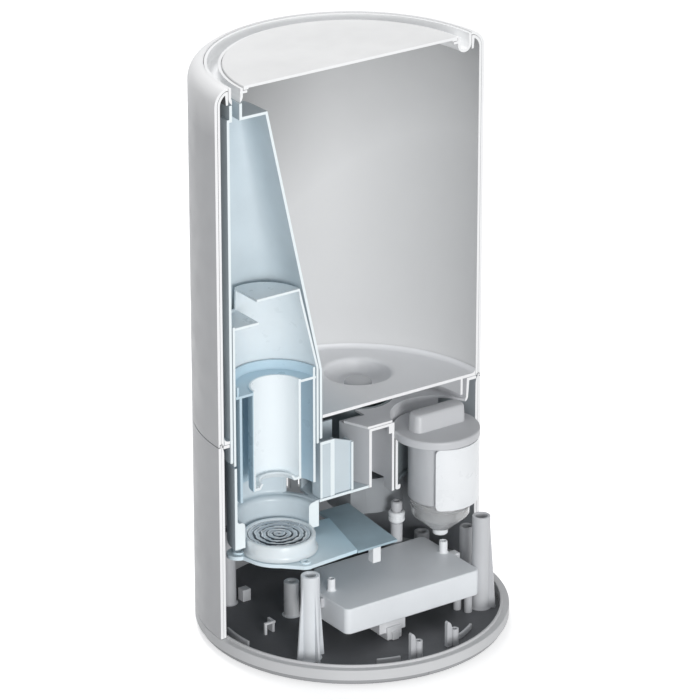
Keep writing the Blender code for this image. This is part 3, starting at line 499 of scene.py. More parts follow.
# ---- tank ---------------------------------------------------------------------------------
def make_tank_walls():
    """Outer skin with its rounded shoulder, and the lining that ends in the flange inside the crest."""
    middle, foot = RADIUS - SKIN, SEAM + GAP
    centre = (RADIUS - BEND, HEIGHT - BEND)
    shoulder = arc(centre, BEND, 76, 0, 18)
    under = arc(centre, BEND - SKIN, 0, 72, 14)
    skin_profile = [(CREST_RADIUS, HEIGHT - 0.6), (CREST_RADIUS + 0.5, HEIGHT), *shoulder, (RADIUS, foot),
                    (RADIUS - 1.0, foot), (RADIUS - 1.0, SEAM + 2.0), (middle, SEAM + 2.0), *under,
                    (CREST_RADIUS, HEIGHT - 2.6)]
    piece("tank_skin", half(turned(skin_profile)), OUTER, "tank", ["tank_shell"], 0.25, CUT)
    inner, flange = RADIUS - WALL, CREST_RADIUS + 1.6
    turn_in = arc(centre, BEND - 2.2, 0, 70, 12)
    back = arc(centre, BEND - WALL, 60, 0, 10)
    lining = [(middle - 0.15, SEAM + 2.0), *turn_in, (CREST_RADIUS, HEIGHT - 2.9),
              (CREST_RADIUS, HEIGHT - 11.6), (flange, HEIGHT - 11.6), *back, (inner, foot + 0.6),
              (RADIUS - 3.0, foot + 0.6), (RADIUS - 3.0, SEAM + 2.0)]
    piece("tank_lining", half(turned(lining)), LINER, "tank", (), 0.2, CUT)


def make_top_ring():
    """Rounded groove round the lid, open below where the duct meets it."""
    middle, reach = (GROOVE_IN + GROOVE_OUT) / 2, (GROOVE_OUT - GROOVE_IN) / 2
    bottom = arc((middle, GROOVE_Z), reach + THIN, 0, -180, 20)
    inside = arc((middle, GROOVE_Z), reach, -180, 0, 20)
    wall = GROOVE_IN - THIN
    shelf = [(wall, 369.8), (wall - 3.2, 369.8), (wall - 3.2, 371.4), (wall, 371.4)]
    profile = [(GROOVE_OUT + THIN, HEIGHT - 1.1), *bottom, *shelf, (wall, 373.2), (GROOVE_IN, 373.2), *inside,
               (GROOVE_OUT, HEIGHT - 1.1)]
    angles = (MIST_SLOT[0] - 0.4, MIST_SLOT[1] + 0.4)
    slot = prism(sector(GROOVE_IN + 0.3, GROOVE_OUT - 0.5, *angles, 25), 350, GROOVE_Z + 2)
    piece("top_ring_groove", half(cut(turned(profile), slot)), GROOVE, "tank", ["top_ring"],
          0.25, CUT)


def make_lid():
    low = 371.4 + GAP
    edge = arc((LID_RADIUS - 1.0, LID_TOP - 1.0), 1.0, 90, 0, 6)
    profile = [(0, LID_TOP), *edge, (LID_RADIUS, low), (75.4, low), (75.4, LID_TOP - 1.9), (0, LID_TOP - 1.9)]
    piece("lid_plate", half(turned(profile)), LID, "lid", ["lid"], 0.2, CUT)


def duct_section(height, inset=0.0, count=96):
    """Plan ring of the leaning duct: round below the bend, a wide rounded slot at the top."""
    share = max(0.0, min(1.0, (height - DUCT_BEND) / (DUCT_TOP - DUCT_BEND)))
    left = DUCT_X - DUCT_RADIUS
    right_low = DUCT_X + DUCT_RADIUS
    right = right_low + (DUCT_TOP_RIGHT - right_low) * share
    half_width = DUCT_RADIUS + (DUCT_TOP_HALF_WIDTH - DUCT_RADIUS) * share - inset
    centre, reach = (left + right) / 2, (right - left) / 2 - inset
    power = 2.0 / (2.0 + 3.0 * share)
    ring = []
    for i in range(count):
        angle = math.tau * (i + 0.5) / count
        c, s = math.cos(angle), math.sin(angle)
        ring.append((centre + reach * math.copysign(abs(c) ** power, c),
                     half_width * math.copysign(abs(s) ** power, s), height))
    return ring


def make_duct():
    """Tapered duct in the tank, from the deck up to the groove."""
    rise = DUCT_TOP - DUCT_BEND
    heights = [DUCT_FOOT, *[DUCT_BEND + rise * i / 16 for i in range(17)]]
    outside = prism(sector(GROOVE_IN - 1.1, GROOVE_OUT + 1.4, *MIST_SLOT), DUCT_TOP - 4, GROOVE_Z - 4.6)
    body = join(skin([duct_section(z) for z in heights]), outside)
    hollow = skin([duct_section(z, THIN) for z in (DUCT_FOOT - 5, *heights[1:-1], DUCT_TOP - THIN)])
    inner_slot = (MIST_SLOT[0] + 1.4, MIST_SLOT[1] - 1.4)
    throat = prism(sector(GROOVE_IN + 0.8, GROOVE_OUT - 0.5, *inner_slot), DUCT_TOP - 6, 380)
    piece("mist_duct_shell", half(cut(body, hollow, throat)), ICE, "tank", ["mist_duct"],
          0.25, ICE_CUT)


def make_tank_floor():
    """Floor of the tank with its skirt, the valve's bowl and the way through for the duct."""
    low, high = SEAM + 0.9, SEAM + 2.9
    edge = RADIUS - WALL - GAP
    fillet = arc((edge - 3.0, high + 3.0), 3.0, 0, -90, 8)
    floor = turned([(0, high), *reversed(fillet), (edge, low), (0, low)])
    skirt = tube((0, 0), 85.8, 84.2, 133.0, low + 0.8)
    rim = arc((BOWL_RADIUS + 4.0, high - 3.0), 3.0, 90, 180, 8)
    bowl_out = turned([(0, high - 0.5), (BOWL_RADIUS + 2.4, high - 0.5), (BOWL_RADIUS + 0.4, 139.0),
                       (BOWL_RADIUS - 3.4, 134.0), (11.0, BOWL_FLOOR - THIN), (0, BOWL_FLOOR - THIN)],
                      VALVE, 96)
    bowl_in = turned([(0, high + 4), (BOWL_RADIUS + 4.0, high + 4), *rim, (BOWL_RADIUS - 0.6, 139.0),
                      (BOWL_RADIUS - 3.2, 135.6), (BOWL_RADIUS - 6.2, 133.2), (9.6, BOWL_FLOOR),
                      (0, BOWL_FLOOR)], VALVE, 96)
    hole = turned([(0, 150), (3.2, 150), (3.2, 120), (0, 120)], VALVE, 32)
    passage = skin([duct_section(z, -GAP) for z in (125.0, 160.0)])
    whole = cut(join(floor, skirt, bowl_out), bowl_in, hole, passage)
    piece("tank_floor_plate", half(whole), TANK_FLOOR_GLOW, "tank", ["tank_floor"], 0.25, CUT)


def make_valve():
    """Ribbed cage over the plunger at the bottom of the bowl."""
    base = BOWL_FLOOR + GAP
    dome = arc((7.2, base + 6.2), 1.8, 0, 90, 6)
    cage = turned([(0, base + 8.0), *reversed(dome), (9.0, base), (7.6, base), (7.6, base + 6.4),
                   (0, base + 6.4)], VALVE, 48)
    slots = [moved(block((-12, -1.0, base + 1.2), (12, 1.0, base + 5.4)), (*VALVE, 0), 30.0 * i)
             for i in range(6)]
    piece("valve_basket", cut(cage, *slots), PALE, "tank", ["valve_cage"], 0.2)


# ---- mist guide and tube ------------------------------------------------------------------
def guide_section(height, inset, count=96):
    """Plan ring of the guide: round below its bend, narrower and further right above it."""
    share = max(0.0, min(1.0, (height - GUIDE_BEND) / (GUIDE_HIGH_BAFFLE - GUIDE_BEND)))
    left = DUCT_X - GUIDE_RADIUS
    right_low = DUCT_X + GUIDE_RADIUS
    right = right_low + (GUIDE_TOP_RIGHT - right_low) * share
    centre, reach = (left + right) / 2, (right - left) / 2 - inset
    width = GUIDE_RADIUS + (26.0 - GUIDE_RADIUS) * share - inset
    angles = [math.tau * (i + 0.5) / count for i in range(count)]
    return [(centre + reach * math.cos(a), width * math.sin(a), height) for a in angles]


def make_guide():
    """Chimney over the mist tube, closed above by two staggered baffles."""
    thick = 1.6
    heights = [GUIDE_FOOT, *[GUIDE_BEND + (GUIDE_HIGH_BAFFLE - GUIDE_BEND) * i / 8 for i in range(9)]]
    outside = skin([guide_section(z, 0) for z in heights])
    hollow = skin([guide_section(z, thick) for z in (GUIDE_FOOT - 5, *heights[1:-1], GUIDE_HIGH_BAFFLE + 6)])
    notch = block((DUCT_X - 40, -45, GUIDE_LOW_BAFFLE + 0.8), (-70.6, 45, GUIDE_HIGH_BAFFLE + 9))
    high = cut(skin([guide_section(z, 0.6) for z in (GUIDE_HIGH_BAFFLE - thick, GUIDE_HIGH_BAFFLE)]),
               block((-100, -50, 225), (-70.9, 50, 245)))
    low = cut(skin([guide_section(z, 0.6) for z in (GUIDE_LOW_BAFFLE - thick, GUIDE_LOW_BAFFLE)]),
              block((-69.6, -50, 200), (0, 50, 230)))
    whole = join(cut(outside, hollow, notch), high, low)
    piece("mist_guide_shell", half(whole), ICE_SOFT, "guide", ["mist_guide"], 0.22, ICE_CUT)


def make_mist_tube():
    """Inner tube with its flange, outer skirt and the splash lip at its foot."""
    top = FLANGE_Z + 2.6
    flange_edge = GUIDE_RADIUS - 2.0
    flange = tube((DUCT_X, 0), flange_edge, TUBE_RADIUS - 1.0, FLANGE_Z, FLANGE_Z + THIN)
    skirt = tube((SKIRT_X, 0), SKIRT_RADIUS, SKIRT_RADIUS - THIN, SKIRT_FOOT, FLANGE_Z + 0.6)
    upstand = tube((DUCT_X, 0), flange_edge - 0.6, flange_edge - 2.2, FLANGE_Z + 1, FLANGE_Z + 8.0)
    inside = TUBE_RADIUS - THIN
    lip = [(TUBE_RADIUS, top), (TUBE_RADIUS, TUBE_FOOT - 1.2), (12.6, TUBE_FOOT - 1.2),
           (10.4, TUBE_FOOT + 2.2), (11.8, TUBE_FOOT + 2.8), (13.4, TUBE_FOOT + 0.6),
           (inside, TUBE_FOOT + 0.6), (inside, top)]
    whole = join(turned(lip, (TUBE_X, 0)), flange, skirt, upstand)
    piece("mist_tube_shell", half(whole), TUBE_SHADE, "mist_pipe", ["mist_tube"], 0.22, ICE_CUT)


# ---- base ---------------------------------------------------------------------------------
def make_housing():
    """Two-layer wall of the base with its tongue, the rear grille and the opening for the inlet."""
    foot, middle, inner = TRAY_LEDGE + GAP, RADIUS - SKIN, RADIUS - WALL
    top, tongue = SEAM - GAP, SEAM + 1.6
    layers = (("housing_skin", BASE_SKIN, ["base_housing"],
               [(RADIUS, top), (RADIUS, foot), (middle, foot), (middle, tongue), (RADIUS - 1.4, tongue),
                (RADIUS - 1.4, top)]),
              ("housing_lining", BACK, (),
               [(middle - 0.15, tongue), (middle - 0.15, foot), (inner, foot), (inner, SEAM - 4),
                (inner + 0.9, top), (RADIUS - 2.6, top), (RADIUS - 2.6, tongue)]))
    for name, look, nodes, profile in layers:
        openings = [block((x - 1.5, 80, 50), (x + 1.5, 120, 74)) for x in range(-32, 33, 8)]
        openings.append(block((-7.3, 80, 24.7), (7.3, 120, 37.3)))
        piece(name, half(cut(turned(profile), *openings)), look, "base", nodes, 0.2, CUT)


def make_deck():
    """Ring and plate under the tank, and a collar round the cap's hole that the CAD source lacks."""
    lip, high = 1.6, SEAM + 0.6
    outer_bend = arc((RECESS_RADIUS - 4.4, DECK_TOP + 1.9), 3.6, 0, -90, 8)
    inner_bend = arc((RECESS_RADIUS - 4.4, DECK_TOP + 1.9), 2.0, -90, 0, 8)
    profile = [(RADIUS - WALL + 0.4, high), (RADIUS - WALL + 0.4, SEAM - 1.4), (RECESS_RADIUS, SEAM - 1.4),
               *outer_bend, (84.0, DECK_TOP - 1.7), (84.0, DECK_TOP - 0.1), *inner_bend,
               (RECESS_RADIUS - 1.8, high)]
    edge = [(12.6, -1), (5.4, 17.0), (21.5, 17.0), (21.5, 30.0), (-3.0, 50.0), (-3.0, 84.9)]
    reach = arc((0, 0), 85.5, -0.7, 92.0, 48)
    plate = prism([edge[0], *reach, *reversed(edge[1:])], DECK_TOP - lip, DECK_TOP)
    holes = [tube(CAP, WELL_RADIUS, 0.0, 100, 160), tube(VALVE, 22.6, 0.0, 100, 160),
             tube((DUCT_X, 0), DUCT_RADIUS + 0.6, 0.0, 100, 160)]
    collar = prism([*arc(CAP, WELL_RADIUS + 1.4, 52, 142, 32), *arc(CAP, WELL_RADIUS - 0.4, 142, 52, 32)],
                   117.0, DECK_TOP - 0.4)
    piece("deck_plate", half(cut(join(turned(profile), plate, collar), *holes)), GREY, "base",
          ["base_deck"], 0.22, CUT)


def make_basin():
    """Thick ring clamped over the transducer, with a wall rising to the deck."""
    ring = BASIN_RADIUS - THIN
    shoulder = arc((BASIN_BORE + 3.0, BASIN_SHOULDER - 3.0), 3.0, 180, 90, 8)
    corner = arc((ring - 2.0, BASIN_SHOULDER + 2.0), 2.0, -90, 0, 6)
    profile = [(BASIN_RADIUS, BASIN_TOP), (BASIN_RADIUS, BASIN_FOOT), (BASIN_BORE, BASIN_FOOT), *shoulder,
               *corner, (ring, BASIN_TOP)]
    window = block((DUCT_X + 10, -40, BASIN_SHOULDER + 0.6), (DUCT_X + 40, 22.4, BASIN_TOP + 5))
    piece("basin_ring", half(cut(turned(profile, (DUCT_X, 0)), window)), ICE, "base",
          ["mist_basin"], 0.25, ICE_CUT)


def make_air_path():
    """Channel from the fan to the basin, the air box beside it and the folded splash baffle."""
    floor, top = 88.6, DECK_TOP - 1.9
    plan = [(-24.8, 0), (12.9, 0), (5.2, 17.7), (5.2, 30), (-12, 30), (-24.6, 22.0), (-26.4, 9.0)]
    back = prism([(-24.6, 20.6), (-12, 28.4), (4.4, 28.4), (4.4, 30), (-12.4, 30), (-24.6, 22.4)],
                 floor - 1, DECK_TOP - 3)
    piece("air_channel_walls", join(prism(plan, floor - THIN, floor), back), ICE, "base",
          ["air_channel"], 0.3, ICE_CUT)
    outline = [(13.2, 0.0), (32.6, 0.0), (32.6, 9.0), (31.0, 22.0), (5.5, 22.0), (5.5, 17.7)]
    inside = [(17.3, -5), (30.8, -5), (30.8, 8.9), (29.3, 20.2), (7.3, 20.2), (7.3, 18.1)]
    shell = cut(prism(outline, 86.8, top), prism(inside, 80.0, top - THIN))
    catch = block((28.4, 0.0, 120.2), (31.4, 2.4, 126.0))
    skirt = block((30.8, 0.0, 80.0), (32.6, 9.0, 90.0))
    piece("air_box_walls", join(shell, catch, skirt), PALE, "base", ["air_box"], 0.25, CUT)
    low, high = 88.9, 127.6
    tray_leaf = block((-24.2, 0.0, low), (-14.6, 9.0, high))
    pocket = block((-22.4, 1.6, low - 1), (-14.0, 12.0, high + 1))
    panel = block((-22.6, -1.0, low - 1), (-16.6, 0.35, high - 2.0))
    leaf = upright([(-14.8, low), (1.0, low), (1.0, high - 5.5), (-14.8, high)], 1.3, 2.9)
    edges = [block((-15.0, 0.0, low), (-13.4, 2.9, high)), block((-0.6, 0.0, low), (1.0, 9.0, high - 5.6))]
    folded = join(cut(tray_leaf, pocket, panel), leaf, *edges)
    piece("air_baffle_leaves", folded, ICE, "base", ["air_baffle"], 0.25, ICE_CUT)


def make_well():
    """Wall behind the cartridge with a curled lip at its foot."""
    top = CAP_Z[0] - GAP
    curl = arc((24.9, 81.4), 1.4, -90, -180, 8)
    profile = [(27.2, top), (27.2, 81.4), *arc((25.8, 81.4), 1.4, 0, -90, 8), *curl, (23.5, 83.0),
               (25.0, 83.2), (25.4, 82.6), (25.4, top)]
    trim = block((78, -40, 60), (110, 60, 140))
    piece("well_wall", half(cut(turned(profile, CAP), trim)), SHADED, "base",
          ["cartridge_well"], 0.22, CUT)


def make_valve_cup():
    """Cup with the pin that opens the valve, and the float on its post."""
    profile = [(0, 105.8), (20.4, 105.8), (20.4, DECK_TOP), (22.2, DECK_TOP), (22.2, 104.0), (0, 104.0)]
    pin = turned([(0, 121.5), (1.9, 121.5), (2.4, 120.6), (2.4, 105), (0, 105)], VALVE, 32)
    post = turned([(0, 122), (1.4, 122), (1.8, 121.4), (1.8, 105), (0, 105)], FLOAT, 32)
    piece("valve_cup_shell", join(turned(profile, VALVE, 96), pin, post), SHADED, "base",
          ["valve_cup"], 0.25)
    ring = [(5.8, 112.0), (5.8, 108.0), (4.9, 107.0), (3.0, 107.0), (2.2, 108.0), (2.2, 112.0), (3.0, 113.0),
            (4.9, 113.0)]
    piece("float_ring", turned(ring, FLOAT, 48), FOAM, "float", ["water_float"], 0.2)


def make_plate():
    """Plate with two ears that carries the transducer; its arm reaches under the driver board."""
    ear = arc((-82.0, 7.0), 7.3, 75, 262, 20)
    front = arc(TRANSDUCER, 25.0, 198, 238, 14)
    lobe = arc((-56.0, -28.6), 6.4, 215, 290, 12)
    rear = arc(TRANSDUCER, 29.0, 40, 130, 24)
    outline = [*ear, *front, *lobe, (-18.8, -32.4), (-6.6, 16.0), (-30.0, 18.0), *rear]
    holes = []
    collars = []
    for centre, radius in (((-81.5, 7.0), 2.1), ((-55.6, -29.0), 1.5)):
        holes.append(tube(centre, radius, 0.0, 50, 80, SMALL_ROUND))
        collars.append(tube(centre, radius + 1.7, radius - 0.3, PLATE_TOP - 1, PLATE_TOP + 0.9, SMALL_ROUND))
    bore = tube(TRANSDUCER, 15.0, 0.0, 50, 80, 96)
    plate = join(prism(outline, PLATE_TOP - PLATE_THICK, PLATE_TOP), *collars)
    piece("plate_with_ears", cut(plate, *holes, bore), PLATE_GLOW, "base",
          ["nebuliser_plate"], 0.35)


def make_board():
    """Driver board beside the transducer, and the block it stands on."""
    low, high = PLATE_TOP - PLATE_THICK - 0.4, PLATE_TOP - 1.2
    outline = [(-18.4, -32.6), (12.0, -32.6), (18.0, 30.0), (-6.0, 30.0), (-6.0, 16.0)]
    piece("board_panel", prism(outline, low, high), BOARD, "base", ["driver_board"], 0.25)
    piece("board_foot", block((-5.6, -31.2, 51.0), (0.4, -25.4, low - GAP)), WHITE, "base",
          ["board_support"], 0.6)


def make_transducer():
    """Translucent collar round a polished disc with standing ripples."""
    crown = arc((21.4, 74.0), 1.6, 180, 20, 10)
    flare = arc((25.6, PLATE_TOP + GAP + 3.0), 3.0, 180, 250, 6)
    collar = [(DISC_RADIUS + 0.4, 73.6), *crown, *flare, (16.5, PLATE_TOP + GAP), (16.5, 69.0),
              (DISC_RADIUS + 0.4, 69.0)]
    piece("transducer_rim", turned(collar, TRANSDUCER), ICE_SOFT, "base",
          ["transducer_collar"], 0.25)
    steps = 60
    ripple = [(DISC_RADIUS * i / steps, 74.3 + 0.42 * math.cos(i * math.tau / 12)) for i in range(steps + 1)]
    profile = [*ripple, (DISC_RADIUS, 69.4), (0, 69.4)]
    piece("transducer_face", turned(profile, TRANSDUCER), PAINTED_REFLECTIONS, "base", ["transducer_disc"],
          0.0, angle=60)


def make_power_box():
    """Cover of the power supply with two locating pegs and a side latch, over its connector."""
    (x0, y0, z0), (x1, y1, z1) = POWER_BOX
    cover = prism(bevelled_outline((x0, y0), (x1, y1), 4.0, 18.0), z0, z1)
    hollow = prism(bevelled_outline((x0 + 2, y0 + 2), (x1 - 2, y1 - 2), 2.0, 17.0), z0 - 3, z1 - 2)
    piece("power_cover", cut(cover, hollow), POWER, "base", ["power_box"], 1.0)
    for name, x, y, radius in (("peg_left", -32.0, -23.0, 2.5), ("peg_right", 58.0, -18.5, 2.7)):
        top = z1 + 8.0
        profile = [(0, top - 1.2), (radius - 1.0, top - 1.2), (radius - 1.0, top), (radius - 0.3, top),
                   (radius, top - 0.4), (radius, z1 + 0.8), (radius + 0.7, z1), (radius + 0.7, z1 - 1),
                   (0, z1 - 1)]
        piece(name, turned(profile, (x, y), SMALL_ROUND), WHITE, "base", (), 0.15)
    piece("latch_left", block((x0 - 2.2, -28.0, z1 - 8.0), (x0 + 0.5, -23.0, z1 - 1.4)), PALE, "base",
          (), 0.6)
    piece("latch_right", block((x1 - 0.5, -24.0, z1 - 5.4), (x1 + 5.5, -18.0, z1 - 1.0)), WHITE, "base",
          (), 0.6)
    shell = join(block((-14.0, -50.0, 11.0), (6.0, -38.0, z0 - GAP)),
                 block((-9.0, -51.6, TRAY_FLOOR + GAP), (2.0, -40.0, 15.0)),
                 block((-6.0, -53.2, TRAY_FLOOR + GAP), (-1.0, -45.0, 12.0)))
    piece("connector_shell", shell, GREY, "base", ["connector_block"], 0.5)


def make_sensor():
    """Slim post with a ring near its top."""
    at, foot = (45.0, 14.6), TRAY_FLOOR + GAP
    profile = [(0, 63.2), (1.7, 63.2), (1.7, 64.0), (2.8, 64.0), (3.6, 63.2), (3.7, 62.6), (3.7, 58.6),
               (3.1, 57.8), (3.1, 49.0), (3.9, 48.4), (3.9, foot + 1), (4.4, foot), (0, foot)]
    piece("sensor_stem", turned(profile, at, SMALL_ROUND), PALE, "base", ["sensor_post"], 0.15)
    ring = [(5.3, 56.2), (5.3, 54.2), (4.9, 53.8), (4.9, 53.2), (5.3, 52.8), (5.3, 50.8), (4.7, 50.0),
            (3.4, 50.0), (3.4, 57.0), (4.7, 57.0)]
    piece("sensor_ring", turned(ring, at, SMALL_ROUND), WHITE, "base", ["sensor_collar"], 0.15)


def post(x, y, outer, bore, height, depth=14.0, foot=1.4):
    """Hollow screw post with a fillet at its foot and a chamfer round its mouth."""
    fillet = arc((outer + foot, TRAY_FLOOR + foot), foot, 180, 270, 6)
    profile = [(bore, height - 0.5), (bore + 0.5, height), (outer - 0.4, height), (outer, height - 0.4),
               *fillet, (outer + foot, TRAY_ROOT), (0, TRAY_ROOT), (0, height - depth),
               (bore, height - depth)]
    return turned(profile, (x, y), SMALL_ROUND)


def fins(x, y, outer, height, angles, reach=4.0):
    """Tapering fins round a post."""
    inset, high = 0.75 * outer, height - 2
    outline = [(inset, TRAY_ROOT), (outer + reach, TRAY_ROOT), (outer - 0.4, high), (inset, high)]
    return [moved(upright(outline, -0.8, 0.8), (x, y, 0), angle) for angle in angles]


def make_tray():
    """Dark floor and the band under the pale rim's step, both in painted shade, and the posts, hooks and
    clips moulded on it.
    """
    low = 1.0
    slots = [prism(sector(86.0, 92.0, -24, -8, 12), -2, TRAY_FLOOR + 1)]
    slots += [prism(rounded_outline((26, 19 + 7 * i), (60, 22.5 + 7 * i), 1.7), -2, TRAY_FLOOR + 1)
              for i in range(4)]
    floor = turned([(0, TRAY_FLOOR), (TRAY_RIM_IN + 0.4, TRAY_FLOOR), (TRAY_RIM_IN + 0.4, low + 1.2),
                    (90.0, low + 0.1), (0, low + 0.1)])
    piece("tray_floor", cut(floor, *slots), TRAY_FLOOR_SHADE, "base", ["base_tray"], 0.3)
    step = RADIUS - WALL - GAP
    rim = [(TRAY_RIM_IN, TRAY_FLOOR - 2.0), (TRAY_RIM_IN, TRAY_RIM_TOP - 0.4),
           (TRAY_RIM_IN + 0.4, TRAY_RIM_TOP), (step, TRAY_RIM_TOP), (step, TRAY_LEDGE),
           (RADIUS - 0.4, TRAY_LEDGE), (RADIUS, TRAY_LEDGE - 0.4), (RADIUS, TRAY_BAND),
           (RADIUS - 3.0, TRAY_BAND), (RADIUS - 3.0, 4.0)]
    piece("tray_rim", turned(rim), RIM, "base", (), 0.25)
    side = RADIUS - TRAY_SET_BACK
    foot = arc((side - 3.0, low + 3.0), 3.0, 0, -90, 10)
    band = turned([(side, TRAY_BAND - 0.1), *foot, (89.0, low), (89.0, low + 1.0), (90.0, TRAY_BAND - 0.1)])
    panel = prism(sector(side - 0.7, RADIUS + 4, -118, -96, 40), 2.6, TRAY_BAND)
    piece("tray_band", cut(band, panel), BAND_SHADE, "base", (), 0.2)
    posts = (("post_front", POST, -61.0, -42.0, 6.0, 3.4, 63.0, (0, 90, 180, 270)),
             ("post_left", WHITE, -36.5, 14.9, 5.0, 2.2, 29.5, ()),
             ("post_right", PALE, 68.6, -44.5, 5.8, 3.8, 70.0, (-45,)),
             ("post_right_rear", PALE, 80.5, -13.0, 4.6, 3.0, 47.5, ()),
             ("post_rear_left", PALE, -60.0, 52.0, 5.0, 2.6, 58.0, (90,)),
             ("post_rear_right", PALE, 79.0, 34.0, 5.0, 2.6, 26.0, (250,)))
    for name, look, x, y, outer, bore, height, angles in posts:
        shape = merged(post(x, y, outer, bore, height), *fins(x, y, outer, height, angles))
        piece(name, shape, look, "base", (), 0.25)
    for name, x, y, height in (("hook_left", -7.8, -80.0, 24.0), ("hook_right", 21.2, -78.4, 23.4)):
        side = [(x - 4.4, TRAY_ROOT), (x - 0.8, TRAY_ROOT), (x - 0.8, height - 4.2), (x - 1.4, height - 2.0),
                (x - 2.6, height - 0.6), (x - 3.6, height), (x - 4.4, height - 1.0)]
        blade = upright(side, y - 1.5, y + 1.5)
        half_tube = turned([(1.3, height - 6.5), (2.6, height - 6.5), (2.6, TRAY_ROOT), (0, TRAY_ROOT),
                            (0, height - 14), (1.3, height - 14)], (x + 2.2, y), 32)
        piece(name, merged(blade, half_tube), PALE, "base", (), 0.25)
    stands = [tube((x, y), 2.6, 1.2, TRAY_ROOT, POWER_BOX[0][2] - GAP, 32)
              for x, y in ((-22, -24), (54.3, -39.0), (57.8, -46.0), (52, 2), (-22, 3))]
    piece("power_stands", merged(*stands), PALE, "base", (), 0.2)
    clip = merged(block((-67, -0.4, TRAY_ROOT), (-65.4, 1.4, 14)),
                  block((-66, -0.4, 12.4), (-59, 1.4, 14)),
                  block((-60.8, 0.6, TRAY_ROOT), (-59, 6.6, 14)),
                  block((-52, 47, TRAY_ROOT), (-46, 53, 14)))
    piece("tray_clips", clip, GREY, "base", (), 0.3)
    ribs = [prism(sector(near, near + 1.6, start, end), TRAY_ROOT, TRAY_FLOOR + height)
            for near, start, end, height in ((79.4, 246, 257, 3.5), (79.4, 292, 304, 3.5),
                                             (86.2, 171, 187, 5.5))]
    piece("tray_ribs", merged(*ribs), PALE, "base", (), 0.35)


def make_feet():
    for name, angle in (("foot_front_left", 225), ("foot_front_right", 315),
                        ("foot_rear_right", 45), ("foot_rear_left", 135)):
        at = (76 * math.cos(math.radians(angle)), 76 * math.sin(math.radians(angle)))
        pad = [(0, 0.96), (8.0, 0.96), (8.0, 0.5), (7.7, 0.12), (7.2, 0), (4.4, 0), (4.1, 0.25), (0, 0.25)]
        piece(name.replace("foot", "pad"), turned(pad, at, SMALL_ROUND), RUBBER, "base",
              [name], 0.0)


def make_inlet():
    """Low-voltage socket in the rear wall: a dished face with a bore and a centre pin."""
    body = prism(rounded_outline((-7.0, 88.5), (7.0, 99.0), 0.6, 3), 25.0, 37.0)
    turn = Matrix.Translation((0, 0.1, 0.031)) @ Matrix.Rotation(math.pi / 2, 4, "X")
    bore = turned([(0, 12), (3.2, 12), (3.2, 0.9), (4.0, -0.3), (4.4, -2.0), (0, -2.0)], (0, 0), 48)
    bmesh.ops.transform(bore, matrix=turn, verts=bore.verts)
    shell = cut(body, bore)
    pin = turned([(0, 11.5), (1.1, 11.5), (1.1, 3.6), (0.8, 3.2), (0, 3.2)], (0, 0), 24)
    bmesh.ops.transform(pin, matrix=turn, verts=pin.verts)
    piece("inlet_socket", shell, RUBBER, "base", ["dc_inlet"], 0.3)
    piece("inlet_pin", pin, STEEL, "base", (), 0.1)


def make_fan():
    """Scroll of the fan with a rolled inlet, under the air box."""
    low, high = FAN_Z
    outer, inner = FAN_RADIUS + 3, FAN_RADIUS + 1
    scroll = turned([(0, high), (outer, high), (outer, low), (0, low)], FAN)
    throat = block((20.5, 31.0, low), (36.0, 46.0, high))
    cavity = tube(FAN, inner, 0.0, low + 2, high - 2)
    eye = turned([(0, low + 5), (12.0, low + 5), (12.0, low + 1.6), (13.6, low), (14.0, low - 2),
                  (0, low - 2)], FAN, 96)
    outlet = block((22.3, 32.8, low + 2), (34.0, 44.0, high + 5))
    piece("fan_scroll", cut(join(scroll, throat), cavity, eye, outlet), CASE, "base",
          ["fan_housing"], 0.6)


